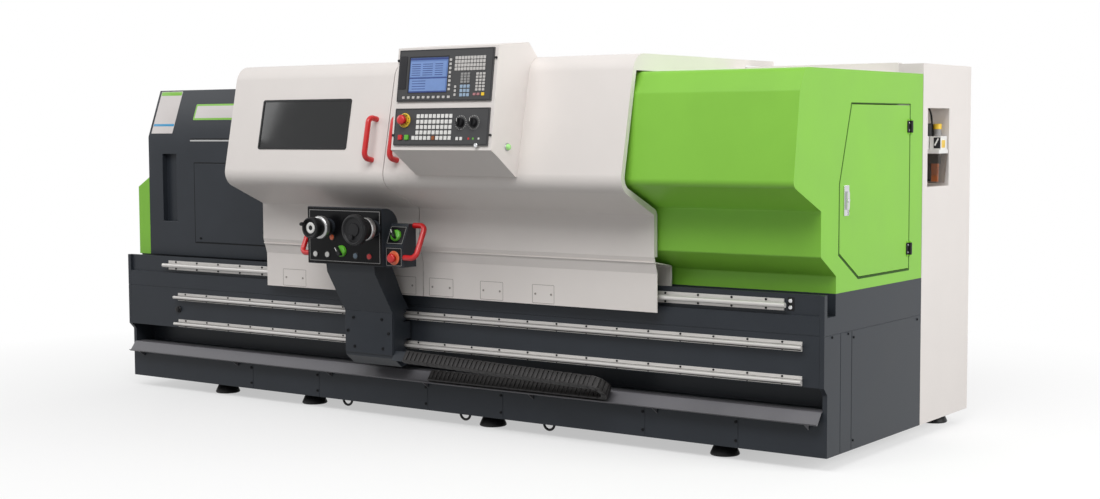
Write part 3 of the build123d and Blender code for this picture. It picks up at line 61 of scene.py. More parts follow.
# Base and rails
half_length = 1950
beam_reach = 28
flange_thickness = 6
flange_screw_start = 55
flange_screw_pitch = 150
door_screw_offset = 16.5
station_screw_offset = 13.5
flange_width = 37
web_width = 9
shaft_radius = 7.5
shaft_stand = 26
shaft_drop = 1.5
shaft_overhang = 8
# Width of the painted shadow strip under each rail's shaft
shadow_strip_width = 7
station_rail_heights = (347, 478)
station_rail_span = (-1577, 1860)
door_rail_height = 632
door_rail_reach = 16
door_rail_span = (-1654, 1777)
rail_stop_place = (1804.5, 635)
rail_stop_bolt_offset = 12.4
seam_places = (-1094, -659, 0, 419, 1141, 1570)
panel_screw_heights = (84, 158)
panel_screw_offset = 11
end_screw_places = ((37, 512), (176, 512), (224, 494), (224, 92), (830, 505))
end_seam_y = 209
end_seam_heights = (62, 519)
plug_place = (-1577, 416)
lip_reach = 8
lip_top = 231
lip_angle = 52
foot_places = (-1386, -794, 281, 1449)
foot_inset = 110
foot_height = 55
foot_pad_radius, foot_pad_top_radius, foot_pad_height, foot_stem_radius = 60, 45, 40, 18
cabinet_left = 950
cabinet_back = 1390
eye_places = (-507, 189, 642)
eye_inset = 30
eye_radius = 27
eye_bar_radius = 5.5

# Screws, as radius and height of the head
station_rail_screw = (4.2, 3)
door_rail_screw = (4.6, 3)
panel_screw = (6, 3.5)
sheet_screw = (6, 3)
end_screw = (5, 3)
arm_screw = (7, 4)
stop_bolt = (8, 6)
belt_cover_bolt = (8, 5)
skirt_screw = (4.5, 2)
hinge_screw = (4, 2)

# Headstock cover
headstock_front = 51
slope_top = (-137, 1503)
slope_foot = (-51, 1269)
sticker_place = (-1773.5, 130.5)
badge_place = (-1415, 130)
hatch_span = (-1531, -956)
hatch_heights = (748, 1137)
hatch_thickness = 3
hatch_screw_inset = (39, 19)
# Width of the hatch's dark outline: its joint plus painted shade of the recessed edge
hatch_line = 6
trim_span = (-1559, -835)
trim_height = 1250
trim_width = 8

# Doors
door_split = 42
door_crown = (235, 1590)
door_nose = (342, 1071)
window_left, window_width = -713, 524
window_bottom, window_height = 1220, 214
handle_offset = 70
handle_rise = 1258
handle_span = 176
handle_stand = 52
handle_radius = 12
handle_bend = 26
skirt_reach = 74
skirt_hatches = {
    "left_door": ((-808, -662), (-148, 1)),
    "right_door": ((76, 210), (358, 480), (633, 745)),
}
skirt_hatch_heights = (578, 656)
skirt_screw_share = 0.36

# Pendant. Places on its panels are counted from their lower left corner.
pendant_left = 236
pendant_width = 514
pendant_face_top = (444, 1630)
pendant_face_foot = (501, 1218)
panel_width = 483
panel_thickness = 8
screen_place = (157, 303)
screen_depth = 3
knob_places = {"spindle_knob": 344, "feed_knob": 409}
knob_row = 109
pendant_estop_place = (54, 119)
lamp_place = (-397, 1230)

# Control station
station_x = -203
arm_width = 282
arm_face_reach = 155
arm_top = 716
arm_screw_places = ((0.19, 468), (0.78, 468), (0.07, 408), (0.92, 408), (0.21, 339), (0.80, 339))
box_left, box_right = -421, 15
box_height = 249
plate_reach = 309
wing_width = 99
wing_reach = 292
wing_bend = 92
wing_height = 183
wing_lean = 42
grip_span, grip_stand, grip_lean = 150, 62, 27
grip_y, grip_rise = -250, 109
cover_heights = (312, 498)
cover_thickness = 6
wheel_offsets = (-87, 175)
wheel_height = 880
bezel_height = 14
lever_angle = 35

# Cable chain on the lip
link_pitch = 45
link_height = 26
link_groove = 5
link_lap = 6
side_thickness = 5
chain_width = 50
chain_middle = -27.5
bend_radius = 46
chain_anchor_x = 47
loop_x = 947
lower_links, loop_links, upper_links = 20, 4, 21
chain_climb = 62
run_gap = 0.3

# Right end
access_hinge_heights = (806, 1303)
access_hinge_y = 736
hinge_screw_offset = 15
access_corners = ((190, 1392), (736, 1392), (736, 723), (261, 723), (90, 823), (90, 1087))
# Outer edge of the painted shade line round the access door, further out at the bottom
access_shade_corners = ((187, 1396), (740, 1396), (740, 716), (258, 716), (84, 818), (86, 1087))
latch_middle = (146, 1024)
latch_seat = (42, 116, 4.2)
pump_span_x, pump_span_y, pump_span_z = (1892, 1945), (1075, 1140), (1205, 1262)
filler_place = (1912, 1112)
tank_span_x, tank_span_z = (1855, 1940), (1070, 1186)
strainer_span_y = (1055, 1085)
oil_span_y = (1054, 1066)
oil_level, oil_left = 1146, 1909
motor_place = (1870, 1095)
pipe_points = ((1902, 1043, 1378), (1894, 1092, 1362), (1893, 1099, 1310))
pipe_radius = 4

# Rear and left end
grille_size, grille_border, grille_slats = 230, 20, 9
grille_places = ((1160, 300), (1730, 1330))
cabinet_latch_place = (1895, 1390, 820)
rear_cover_spans = ((-1830, -1010), (-940, -120), (-50, 770))
rear_cover_heights = (150, 540)
guard_back = 644
guard_joints = (-210, 410)
guard_joint_heights = (684, 1480)
guard_screw_offset = 22
headstock_back = 830
vent_place = (-1350, 1120)
vent_width, vent_height, vent_slats = 520, 330, 9
belt_cover_bolts = ((110, 730), (632, 730), (110, 960), (632, 960))

# Light and camera, in metres but for the camera's place
lights = (
    ("key_light", (1.6, -4.8, 5.8), (0, -0.3, 1.0), (6, 3), 310),
    ("right_light", (7.0, 0.3, 2.8), (1.9, 0.5, 0.7), (4, 3), 220),
    ("left_light", (-5.5, -3.2, 3.8), (-1.0, 0, 1.2), (3, 2), 52),
    ("rear_light", (0.0, 6.0, 4.0), (0, 0.5, 0.9), (6, 2), 110),
)
floor_size = 60
camera_place = (4714, -5643, 1301)
camera_yaw, camera_pitch, camera_roll = 35.616, 4.149, -0.2606
camera_lens, camera_sensor = 54.474, 36

# Shading
piece_sharp_angle = 35
solid_sharp_angle = 32
flat_angle = 0.5
weld_distance = 0.00002
gloss_spread = 0.06


def mid(span):
    return (span[0] + span[1]) / 2


def extent(span):
    return span[1] - span[0]


def spread(low, high, count):
    return [low + (high - low) * number / (count - 1) for number in range(count)]


# Frames: matrices from local millimetres to the row frame
def frame_at(place, along, out):
    """Local x runs along, local z out of the face, local y completes them."""
    z_axis = Vector(out).normalized()
    x_axis = Vector(along).normalized()
    y_axis = z_axis.cross(x_axis)
    axes = Matrix((x_axis, y_axis, z_axis)).transposed().to_4x4()
    return Matrix.Translation(machine_origin + Vector(place) * MM) @ axes @ Matrix.Scale(MM, 4)


def facing_front(x, reach, z):
    return frame_at((x, -reach, z), (1, 0, 0), (0, -1, 0))


def facing_right(x, y, z):
    return frame_at((x, y, z), (0, 1, 0), (1, 0, 0))


def facing_rear(x, y, z):
    return frame_at((x, y, z), (-1, 0, 0), (0, 1, 0))


def facing_left(x, y, z):
    return frame_at((x, y, z), (0, -1, 0), (-1, 0, 0))


def facing_up(x, y, z):
    return frame_at((x, y, z), (1, 0, 0), (0, 0, 1))


def leaning(top, foot, x):
    """Frame at the foot of a leaning front face, given by two (reach, height) points."""
    run, rise = foot[0] - top[0], top[1] - foot[1]
    return frame_at((x, -foot[0], foot[1]), (1, 0, 0), (0, -rise, run))


def lip_frame(x):
    slope = radians(lip_angle)
    return frame_at((x, -lip_reach, lip_top), (1, 0, 0), (0, -sin(slope), cos(slope)))


def door_face(x, z):
    share = (door_crown[1] - z) / (door_crown[1] - door_nose[1])
    reach = door_crown[0] + share * (door_nose[0] - door_crown[0])
    return leaning(door_crown, (reach, z), x)


def pendant_face(x, y, lift=panel_thickness):
    """Place on the pendant's panels, on their face or at another lift from the box."""
    left = pendant_left + (pendant_width - panel_width) / 2
    return leaning(pendant_face_top, pendant_face_foot, left) @ move(x, y, lift)


def station_face(x, rise):
    return facing_front(x, plate_reach, arm_top + rise)


def wing_upper(rise):
    """Place on the leaning upper plate of the station's wing."""
    top = (wing_reach - wing_lean, arm_top + wing_height)
    foot = (wing_reach, arm_top + wing_bend)
    return leaning(top, foot, box_right + wing_width / 2) @ move(0, rise)


def wing_lower(rise):
    return facing_front(box_right + wing_width / 2, wing_reach, arm_top + rise)


def move(x, y, z=0.0):
    return Matrix.Translation((x, y, z))


def turn(angle, axis):
    return Matrix.Rotation(radians(angle), 4, axis)


def corners(x, y, z):
    """Moves to the four corners of a rectangle, given by half its sides."""
    return [move(side_x * x, side_y * y, z) for side_x in (-1, 1) for side_y in (-1, 1)]


# Solids in millimetres
def stack(loops, close=True):
    """Mesh through equal loops of points, capped at both ends where close is true."""
    solid = bmesh.new()
    rows = [[solid.verts.new(point) for point in loop] for loop in loops]
    count = len(rows[0])
    for low, high in zip(rows, rows[1:]):
        for number in range(count):
            after = (number + 1) % count
            solid.faces.new((low[number], low[after], high[after], high[number]))
    if close:
        solid.faces.new(reversed(rows[0]))
        solid.faces.new(rows[-1])
    bmesh.ops.remove_doubles(solid, verts=solid.verts, dist=1e-4)
    return solid


def ring(loops):
    """Closed band through equal loops, back to the first."""
    return stack(loops + loops[:1], close=False)


def rounded_loop(width, height, radius, z, steps=5):
    """Rectangle with round corners, centred on the origin."""
    points = []
    for corner, (side_x, side_y) in enumerate(((1, 1), (-1, 1), (-1, -1), (1, -1))):
        for step in range(steps + 1):
            angle = radians(90 * corner + 90 * step / steps)
            points.append((side_x * (width / 2 - radius) + radius * cos(angle),
                           side_y * (height / 2 - radius) + radius * sin(angle), z))
    return points


def plate(width, height, thickness, corner, edge=0.5):
    """Plate on the x-y plane with round corners and a broken upper edge."""
    inner = max(corner - edge, 0.05)
    return stack([
        rounded_loop(width, height, corner, 0),
        rounded_loop(width, height, corner, thickness - edge),
        rounded_loop(width - edge, height - edge, corner, thickness - edge / 3),
        rounded_loop(width - 2 * edge, height - 2 * edge, inner, thickness),
    ])


def border(width, height, line, thickness, corner):
    """Flat frame of one line width round a rectangle."""
    outer = (width, height, corner)
    inner = (width - 2 * line, height - 2 * line, max(corner - line, 0.1))
    return ring([rounded_loop(*size, z) for size, z in (
        (outer, 0), (outer, thickness), (inner, thickness), (inner, 0))])


def circle(radius, z, sides):
    angles = [2 * pi * number / sides for number in range(sides)]
    return [(radius * cos(angle), radius * sin(angle), z) for angle in angles]


def lathe(profile, sides=32):
    """Solid turned about z from (radius, height) points. An open profile is closed by flat ends."""
    if profile[0] != profile[-1]:
        profile = [(0, profile[0][1]), *profile, (0, profile[-1][1])]
    return stack([circle(radius, height, sides) for radius, height in profile], close=False)


def fluted(profile, count):
    """Solid with shallow flutes about z, from (radius, depth of flutes, height) points."""
    loops = []
    for radius, depth, height in profile:
        outer, inner = circle(radius, height, 4 * count), circle(radius - depth, height, 4 * count)
        loops.append([(outer if number % 4 < 2 else inner)[number] for number in range(4 * count)])
    return stack(loops)


def tube(points, radius, sides=16):
    """Round bar through points."""
    path = [Vector(point) for point in points]
    side = None
    loops = []
    for number, point in enumerate(path):
        ahead = path[min(number + 1, len(path) - 1)] - path[max(number - 1, 0)]
        ahead.normalize()
        if side is None:
            side = ahead.orthogonal().normalized()
        side = (side - ahead * side.dot(ahead)).normalized()
        across = ahead.cross(side)
        loops.append([point + side * x + across * y for x, y, _ in circle(radius, 0, sides)])
    return stack(loops)


def screw(radius, height):
    """Cap screw with a socket."""
    socket, floor_height = radius * 0.5, height * 0.45
    return lathe([(socket, floor_height), (socket, height), (radius * 0.88, height),
                  (radius, height * 0.85), (radius, 0)], sides=12)


def block_at(span_x, span_y, span_z, corner=4, edge=1.5):
    """Rounded block that fills three (low, high) spans, as a solid and its frame."""
    solid = plate(extent(span_x), extent(span_y), extent(span_z), corner, edge)
    return solid, facing_up(mid(span_x), mid(span_y), span_z[0])


def make(name, look, parts):
    """One mesh of (solid, frame) pairs, in the given look."""
    joined = bmesh.new()
    for solid, at in parts:
        step = bpy.data.meshes.new("step")
        solid.transform(at)
        solid.to_mesh(step)
        solid.free()
        joined.from_mesh(step)
        bpy.data.meshes.remove(step)
    bmesh.ops.recalc_face_normals(joined, faces=joined.faces)
    mesh = bpy.data.meshes.new(name)
    joined.to_mesh(mesh)
    joined.free()
    mesh.polygons.foreach_set("use_smooth", [True] * len(mesh.polygons))
    mesh.set_sharp_from_angle(angle=radians(piece_sharp_angle))
    mesh.materials.append(look)
    piece = bpy.data.objects.new(name, mesh)
    bpy.context.scene.collection.objects.link(piece)
    return piece


def put(name, body, look, parts, replaced=None):
    """Piece that rides on a body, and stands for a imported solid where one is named."""
    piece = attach(make(name, look, parts), body)
    if replaced:
        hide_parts(replaced)


# Materials
def feed(tree, node, sockets):
    """Sets a node's inputs to values, or links them to other nodes' outputs."""
    for socket, value in sockets.items():
        if isinstance(value, bpy.types.NodeSocket):
            tree.links.new(value, node.inputs[socket])
        else:
            node.inputs[socket].default_value = value


def assign(thing, settings):
    for setting, value in settings.items():
        setattr(thing, setting, value)


def add_node(tree, kind, sockets=None, **settings):
    node = tree.nodes.new(kind)
    assign(node, settings)
    feed(tree, node, sockets or {})
    return node


def srgb(colour):
    """Linear colour of an 8-bit screen colour."""
    shares = [level / 255 for level in colour]
    return [share / 12.92 if share < 0.0405 else ((share + 0.055) / 1.055) ** 2.4 for share in shares]


def scaled(colour, factor):
    return tuple(min(c * factor, 1.0) for c in colour) + (1.0,)


def finish(name, colour, roughness, mottle, mottle_scale=5.0, metallic=0.0, grain=0.0, grain_scale=700.0,
           stretch=(1, 1, 1), coat=0.0, specular=0.5):
    """Opaque finish with slight changes of colour and gloss, and a fine grain in its surface."""
    look = bpy.data.materials.new(name)
    look.use_nodes = True
    tree = look.node_tree
    place = add_node(tree, "ShaderNodeTexCoord")
    mapping = add_node(tree, "ShaderNodeMapping", {"Scale": stretch, "Vector": place.outputs["Object"]})
    point = mapping.outputs["Vector"]
    cloud = add_node(tree, "ShaderNodeTexNoise", {"Scale": mottle_scale, "Detail": 5.0, "Vector": point})
    tint = add_node(tree, "ShaderNodeValToRGB", {"Fac": cloud.outputs["Fac"]})
    dark, pale = tint.color_ramp.elements
    dark.position, dark.color = 0.3, scaled(srgb(colour), 1 - mottle)
    pale.position, pale.color = 0.7, scaled(srgb(colour), 1 + mottle)
    gloss = add_node(tree, "ShaderNodeMapRange", {
        "Value": cloud.outputs["Fac"], "To Min": max(roughness - gloss_spread, 0.02),
        "To Max": roughness + gloss_spread})
    shader = tree.nodes["Principled BSDF"]
    feed(tree, shader, {
        "Base Color": tint.outputs["Color"], "Roughness": gloss.outputs["Result"], "Metallic": metallic,
        "Specular IOR Level": specular, "Coat Weight": coat, "Coat Roughness": 0.15})
    if grain:
        fine = add_node(tree, "ShaderNodeTexNoise", {"Scale": grain_scale, "Detail": 3.0, "Vector": point})
        relief = add_node(tree, "ShaderNodeBump", {
            "Strength": grain, "Distance": 0.0004, "Height": fine.outputs["Fac"]})
        feed(tree, shader, {"Normal": relief.outputs["Normal"]})
    return look


def glass(name, colour, roughness, transmission, ior):
    """See-through finish with faint smears in its gloss."""
    look = finish(name, colour, roughness, 0.08, 9.0)
    shader = look.node_tree.nodes["Principled BSDF"]
    feed(look.node_tree, shader, {"Transmission Weight": transmission, "IOR": ior})
    return look


# Each finish: name, screen colour, roughness and mottle, then what sets it apart
white_paint = finish("white_paint", (230, 224, 220), 0.45, 0.015, grain=0.10, specular=0.3)
green_paint = finish("green_paint", (134, 197, 66), 0.42, 0.03, grain=0.12, specular=0.35)
dark_paint = finish("dark_paint", (46, 50, 56), 0.38, 0.08, grain=0.18, specular=0.22)
lip_paint = finish("lip_paint", (108, 107, 111), 0.40, 0.08, grain=0.15, specular=0.3)
rail_steel = finish("rail_steel", (206, 203, 200), 0.38, 0.08, metallic=0.3, grain=0.08,
                    stretch=(0.05, 1, 1), grain_scale=900)
# Painted shade: the dark colour of the strips drawn as the shadow round each rail's shaft
rail_shade = finish("rail_shade", (70, 68, 67), 0.5, 0.1, specular=0.2)
machined = finish("machined_steel", (172, 172, 172), 0.30, 0.08, metallic=0.95, grain=0.10)
iron = finish("cast_iron", (96, 100, 104), 0.55, 0.12, metallic=0.3, grain=0.35, grain_scale=350)
chrome = finish("chrome", (214, 214, 216), 0.16, 0.03, metallic=1.0)
black_plastic = finish("black_plastic", (20, 20, 22), 0.42, 0.10, grain=0.25, specular=0.25)
black_gloss = finish("black_gloss", (12, 12, 14), 0.30, 0.10, specular=0.15)
chain_plastic = finish("chain_plastic", (34, 32, 32), 0.50, 0.14, grain=0.30, specular=0.3)
# Painted shade: green paint drawn darker, for the line of shadow round the access door
painted_shade_green = finish("painted_shade_green", (44, 78, 20), 0.6, 0.08, specular=0.2)
dark_seam = finish("dark_seam", (22, 23, 25), 0.7, 0.1, specular=0.2)
soft_line = finish("soft_line", (150, 144, 139), 0.6, 0.05)
red_plastic = finish("red_plastic", (206, 22, 26), 0.34, 0.05, grain=0.10, coat=0.2)
green_plastic = finish("green_plastic", (92, 178, 40), 0.32, 0.06, coat=0.2)
lamp_green = finish("lamp_green", (170, 236, 140), 0.20, 0.06, coat=0.4)
white_plastic = finish("white_plastic", (232, 231, 228), 0.36, 0.02)
key_plastic = finish("key_plastic", (196, 193, 190), 0.40, 0.03)
key_blue = finish("key_blue", (150, 172, 194), 0.40, 0.04)
key_rose = finish("key_rose", (176, 120, 124), 0.40, 0.04)
grille_plastic = finish("grille_plastic", (58, 60, 63), 0.5, 0.08, grain=0.2, specular=0.25)
grey_plastic = finish("grey_plastic", (146, 145, 144), 0.45, 0.06)
blue_plastic = finish("blue_plastic", (88, 104, 118), 0.36, 0.06)
orange_plastic = finish("orange_plastic", (226, 104, 62), 0.34, 0.06, coat=0.2)
yellow_plastic = finish("yellow_plastic", (244, 202, 52), 0.36, 0.04)
brown_oil = finish("brown_oil", (146, 78, 34), 0.25, 0.15, mottle_scale=30)
panel_film = finish("panel_film", (70, 70, 71), 0.50, 0.05, grain=0.12, specular=0.25)
panel_shade = finish("panel_shade", (40, 40, 43), 0.45, 0.06, specular=0.25)
label_paper = finish("label_paper", (214, 208, 206), 0.45, 0.02)
label_green = finish("label_green", (126, 190, 58), 0.40, 0.04)
label_blue = finish("label_blue", (48, 148, 196), 0.4, 0.04)
screen_blue, screen_pale, screen_deep = (
    finish(name, colour, 0.22, 0.05, 20) for name, colour in (
        ("screen_blue", (98, 128, 186)), ("screen_pale", (120, 150, 205)), ("screen_deep", (52, 70, 130))))
window_glass = glass("window_glass", (16, 18, 20), 0.05, 0.2, 1.45)
clear_plastic = glass("clear_plastic", (196, 186, 176), 0.08, 0.92, 1.12)


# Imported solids: a softened edge, smooth shading by angle, and a finish
def smooth_group():
    """Geometry nodes that shade smooth over all but sharp edges."""
    group = bpy.data.node_groups.new("smooth_by_angle", "GeometryNodeTree")
    for direction in ("INPUT", "OUTPUT"):
        group.interface.new_socket("Geometry", in_out=direction, socket_type="NodeSocketGeometry")
    source = add_node(group, "NodeGroupInput")
    angle = add_node(group, "GeometryNodeInputMeshEdgeAngle")
    sharp = add_node(group, "FunctionNodeCompare", {
        "A": angle.outputs["Unsigned Angle"], "B": radians(solid_sharp_angle)},
        data_type="FLOAT", operation="GREATER_THAN")
    faces = add_node(group, "GeometryNodeSetShadeSmooth", {"Geometry": source.outputs["Geometry"]})
    edges = add_node(group, "GeometryNodeSetShadeSmooth", {
        "Geometry": faces.outputs["Geometry"], "Selection": sharp.outputs["Result"], "Shade Smooth": False},
        domain="EDGE")
    add_node(group, "NodeGroupOutput", {"Geometry": edges.outputs["Geometry"]})
    return group


smooth_by_angle = smooth_group()


def modify(solid, kind, **settings):
    assign(solid.modifiers.new(kind.lower(), kind), settings)


def dress(node, look, edge):
    """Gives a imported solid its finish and, where edge is not 0, softened edges."""
    solid = nodes[node]
    solid.data.materials.clear()
    solid.data.materials.append(look)
    modify(solid, "WELD", merge_threshold=weld_distance)
    if edge:
        modify(solid, "DECIMATE", decimate_type="DISSOLVE", angle_limit=radians(flat_angle))
        modify(solid, "BEVEL", width=edge * MM, segments=2, limit_method="ANGLE",
               angle_limit=radians(solid_sharp_angle), harden_normals=False)
    modify(solid, "NODES", node_group=smooth_by_angle)
    if edge:
        modify(solid, "WEIGHTED_NORMAL", keep_sharp=True)


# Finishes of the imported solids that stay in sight, by the width of their softened edges
finishes = {
    dark_paint: {0: ["headstock_hatch"], 1.5: ["base_stand", "front_beam", "station_box"],
                 3: ["headstock_cover", "station_arm"]},
    lip_paint: {0.6: ["drip_lip"]},
    white_paint: {0.8: ["left_door", "right_door"], 1: ["rear_guard"],
                  1.5: ["electrical_cabinet", "cabinet_door"], 2.5: ["pendant_box"]},
    green_paint: {0.8: ["access_door"], 1.2: ["tailstock_cover"], 3: ["belt_cover"]},
    rail_steel: {0: ["door_rails", "cabinet_plate"]},
    iron: {1.5: ["bed", "cross_slide"], 2: ["headstock_casting", "saddle", "tailstock_body"]},
    machined: {0: ["chuck_body"], 0.5: ["tailstock_quill"], 1: ["spindle"],
               1.5: ["chuck_jaw_1", "chuck_jaw_2", "chuck_jaw_3"], 2: ["tool_post"]},
    chrome: {1: ["access_latch"]},
    panel_film: {0.8: ["display_unit", "keypad_unit"]},
    red_plastic: {1.5: ["stop_key"]},
    green_plastic: {1.5: ["start_key"]},
    white_plastic: {1: ["lubricator"]},
    clear_plastic: {2: ["lubricator_tank"]},
    window_glass: {0: ["window_pane"]},
}
for look, dressed in finishes.items():
    for edge, names in dressed.items():
        for node in names:
            dress(node, look, edge)


# Base: rails, screws, feet and eyes
def rails():
    """Round rails of the station on their flanged supports, with painted shadow: a dark strip on the flange
    under each shaft and a thin one above it.
    """
    length = extent(station_rail_span)
    end = length / 2 + shaft_overhang
    axis = [(side * end, -shaft_drop, shaft_stand) for side in (-1, 1)]
    shadow_strip_y = 1 - shaft_drop - shaft_radius - shadow_strip_width / 2
    supports, shafts, shadow_strips = [], [], []
    for height in station_rail_heights:
        at = facing_front(mid(station_rail_span), beam_reach, height)
        supports.append((plate(length, flange_width, flange_thickness, 1, 0.6), at))
        supports.append((plate(length, web_width, shaft_stand, 1, 0.4), at))
        shafts.append((tube(axis, shaft_radius, 24), at))
        # Painted shadow strips on the flange, below and above the shaft
        shadow_strips.append((plate(length - 4, shadow_strip_width, 5, 0.4, 0.1), at @ move(0, shadow_strip_y, flange_thickness)))
        shadow_strips.append((plate(length - 4, 3, 0.6, 0.4, 0.1), at @ move(0, shaft_radius - 3, flange_thickness)))
    put("rail_supports", "base", rail_steel, supports, replaced="station_rails")
    put("rail_shafts", "base", rail_steel, shafts)
    put("rail_painted_shadows", "base", rail_shade, shadow_strips)


def flange_screws():
    rows = [(station_rail_screw, station_rail_span, beam_reach, height, station_screw_offset)
            for height in station_rail_heights]
    rows.append((door_rail_screw, door_rail_span, door_rail_reach, door_rail_height, door_screw_offset))
    parts = []
    for size, (left, right), reach, height, offset in rows:
        for x in range(left + flange_screw_start, right, flange_screw_pitch):
            for side in (-offset, offset):
                parts.append((screw(*size), facing_front(x, reach + flange_thickness, height + side)))
    put("rail_screws", "base", dark_seam, parts)


def base_screws():
    parts = [(screw(*panel_screw), facing_front(x - panel_screw_offset, 0, z))
             for x in seam_places for z in panel_screw_heights]
    parts += [(screw(*end_screw), facing_right(half_length, y, z)) for y, z in end_screw_places]
    put("panel_screws", "base", dark_seam, parts)


def end_panel():
    seam = plate(3, extent(end_seam_heights), 0.5, 0.4, 0.1)
    at = facing_right(half_length, end_seam_y, mid(end_seam_heights))
    put("end_panel_seam", "base", dark_seam, [(seam, at)])


def cable_plug():
    x, z = plug_place
    plug = [(17, 0), (17, 4), (13, 8), (13, 14), (9, 16)]
    put("cable_plug", "base", black_plastic, [(lathe(plug, 24), facing_front(x, beam_reach, z))])


def rail_stop():
    x, z = rail_stop_place
    at = facing_front(x, door_rail_reach, z)
    put("rail_stop_plate", "base", black_plastic, [(plate(28, 52, 1.5, 2, 0.4), at)])
    bolts = [(screw(*stop_bolt), at @ move(0, side * rail_stop_bolt_offset, 1.5)) for side in (-1, 1)]
    put("rail_stop_bolts", "base", chrome, bolts)


def feet():
    low, high, stem, top = foot_pad_radius, foot_pad_top_radius, foot_stem_radius, foot_pad_height
    pad = [(low - 3, 0), (low, 4), (low - 1, 9), (high + 1, top - 3), (high - 3, top), (stem, top),
           (stem, foot_height)]
    places = [(x, y) for y in (foot_inset, base_depth - foot_inset) for x in foot_places]
    places += [(x, cabinet_back - foot_inset) for x in (cabinet_left + foot_inset, half_length - foot_inset)]
    parts = [(lathe(pad), facing_up(x, y, 0)) for x, y in places]
    put("round_feet", "base", black_plastic, parts, replaced="levelling_feet")


def eyes():
    """Half rings that hang under the front edge."""
    arc = [radians(angle) for angle in spread(180, 360, 17)]
    bend = [(eye_radius * cos(angle), eye_radius * sin(angle), 0) for angle in arc]
    parts = [(tube(bend, eye_bar_radius, 12), facing_front(x, -eye_inset, foot_height)) for x in eye_places]
    put("half_ring_eyes", "base", black_plastic, parts, replaced="lifting_eyes")


# Headstock cover
def headstock_trim():
    length = extent(trim_span)
    at = facing_front(mid(trim_span), -headstock_front, trim_height)
    put("headstock_trim", "base", machined, [(plate(length, trim_width, 3, 2, 1), at)])
    put("headstock_trim_gap", "base", dark_seam, [(plate(length, 6, 1, 2, 0.4), at @ move(0, trim_width))])


def hatch_screws():
    inset_x, inset_z = hatch_screw_inset
    places = [(x, hatch_heights[0] + inset_z) for x in (hatch_span[0] + inset_x, hatch_span[1] - inset_x)]
    put("hatch_screws", "base", dark_seam,
        [(screw(*panel_screw), facing_front(x, hatch_thickness - headstock_front, z)) for x, z in places])
    # The dark outline is the joint round the hatch, drawn 6 mm wide as painted shade of the hatch's recessed
    # edge
    width, height = (extent(span) + 2 * hatch_line for span in (hatch_span, hatch_heights))
    outline = border(width, height, hatch_line, 0.6, 2)
    at = facing_front(mid(hatch_span), -headstock_front, mid(hatch_heights))
    put("hatch_outline", "base", dark_seam, [(outline, at)])


def blank_labels():
    slope = leaning(slope_top, slope_foot, 0)
    sticker, badge = slope @ move(*sticker_place), slope @ move(*badge_place)
    labels = {
        "info_sticker": (label_paper, sticker, 155, 225, 0.8, 2, 0.2),
        "sticker_green_band": (label_green, sticker @ move(0, 100), 149, 20, 1.1, 1, 0.2),
        "sticker_blue_band": (label_blue, sticker @ move(0, -68), 149, 13, 1.1, 1, 0.2),
        "blank_plate_edge": (label_green, badge, 310, 84, 1.6, 6, 0.5),
        "blank_plate": (label_paper, badge, 290, 64, 2.2, 4, 0.5),
    }
    for name, (look, at, *size) in labels.items():
        put(name, "base", look, [(plate(*size), at)])


# Doors
def bar_handle(span, stand):
    """Bent round bar with its feet on the x-y plane, at y = -span/2 and span/2."""
    arc_y, arc_z = span / 2 - handle_bend, stand - handle_bend
    half = [(span / 2, 0), (span / 2, arc_z / 2)]
    for angle in spread(0, radians(90), 9):
        half.append((arc_y + handle_bend * cos(angle), arc_z + handle_bend * sin(angle)))
    points = [(0, -y, z) for y, z in half] + [(0, y, z) for y, z in reversed(half)]
    return tube(points, handle_radius, 20)


def door_handles():
    for side, body in ((-1, "left_door"), (1, "right_door")):
        at = door_face(door_split + side * handle_offset, handle_rise)
        bar = bar_handle(handle_span, handle_stand)
        put(f"{body}_grip", body, red_plastic, [(bar, at)], replaced=f"{body}_handle")


def window_seal():
    at = door_face(window_left + window_width / 2, window_bottom) @ move(0, window_height / 2)
    seal = border(window_width + 10, window_height + 10, 9, 2.5, 10)
    put("window_seal", "left_door", black_plastic, [(seal, at)])


def hatches_in_skirts():
    height = extent(skirt_hatch_heights)
    for body, spans in skirt_hatches.items():
        lines, screws = [], []
        for span in spans:
            at = facing_front(mid(span), skirt_reach, mid(skirt_hatch_heights))
            lines.append((border(extent(span), height, 1.6, 0.5, 4), at))
            for share in (-skirt_screw_share, skirt_screw_share):
                screws.append((screw(*skirt_screw), at @ move(share * extent(span), 0)))
        put(f"{body}_hatch_lines", body, soft_line, lines)
        put(f"{body}_hatch_screws", body, soft_line, screws)


# Pendant
def put_keys(name, look, grids, rise=2.2):
    """Keys on the panels, from grids of (columns, rows, width, height)."""
    put(name, "right_door", look, [
        (plate(width, height, rise, 1.6, 0.6), pendant_face(x, y))
        for columns, rows, width, height in grids for y in rows for x in columns])


def display_keys():
    put_keys("display_keys", key_plastic, [
        (spread(37, 271, 10), [212], 13, 10),
        ([270], spread(243, 361, 8), 11, 10),
        (spread(299, 439, 10), spread(322.5, 367.5, 4), 12.6, 12.4),
        ([302], [252, 236, 220], 10, 10),
        (spread(410, 443, 3), spread(239, 302, 6), 12, 9.6),
    ])
    put_keys("display_grey_keys", grey_plastic, [(spread(333, 366, 3), spread(271, 303, 4), 12.5, 9)])
    put_keys("display_cursor_keys", key_blue, [(spread(333, 368, 3), spread(219, 253, 3), 13.5, 13)])
    put_keys("display_yellow_key", yellow_plastic, [([443], [221], 15, 13)])
    put_keys("display_red_keys", key_rose, [([401, 420], [221], 14, 10)])
    put("drive_cover", "right_door", panel_shade, [(plate(38, 134, 3, 4, 1), pendant_face(25, 314))])
    put("panel_seams", "right_door", panel_shade, [
        (border(panel_width - 6, height, 2, 0.6, 3), pendant_face(panel_width / 2, y))
        for height, y in ((204, 301), (144, 93))])


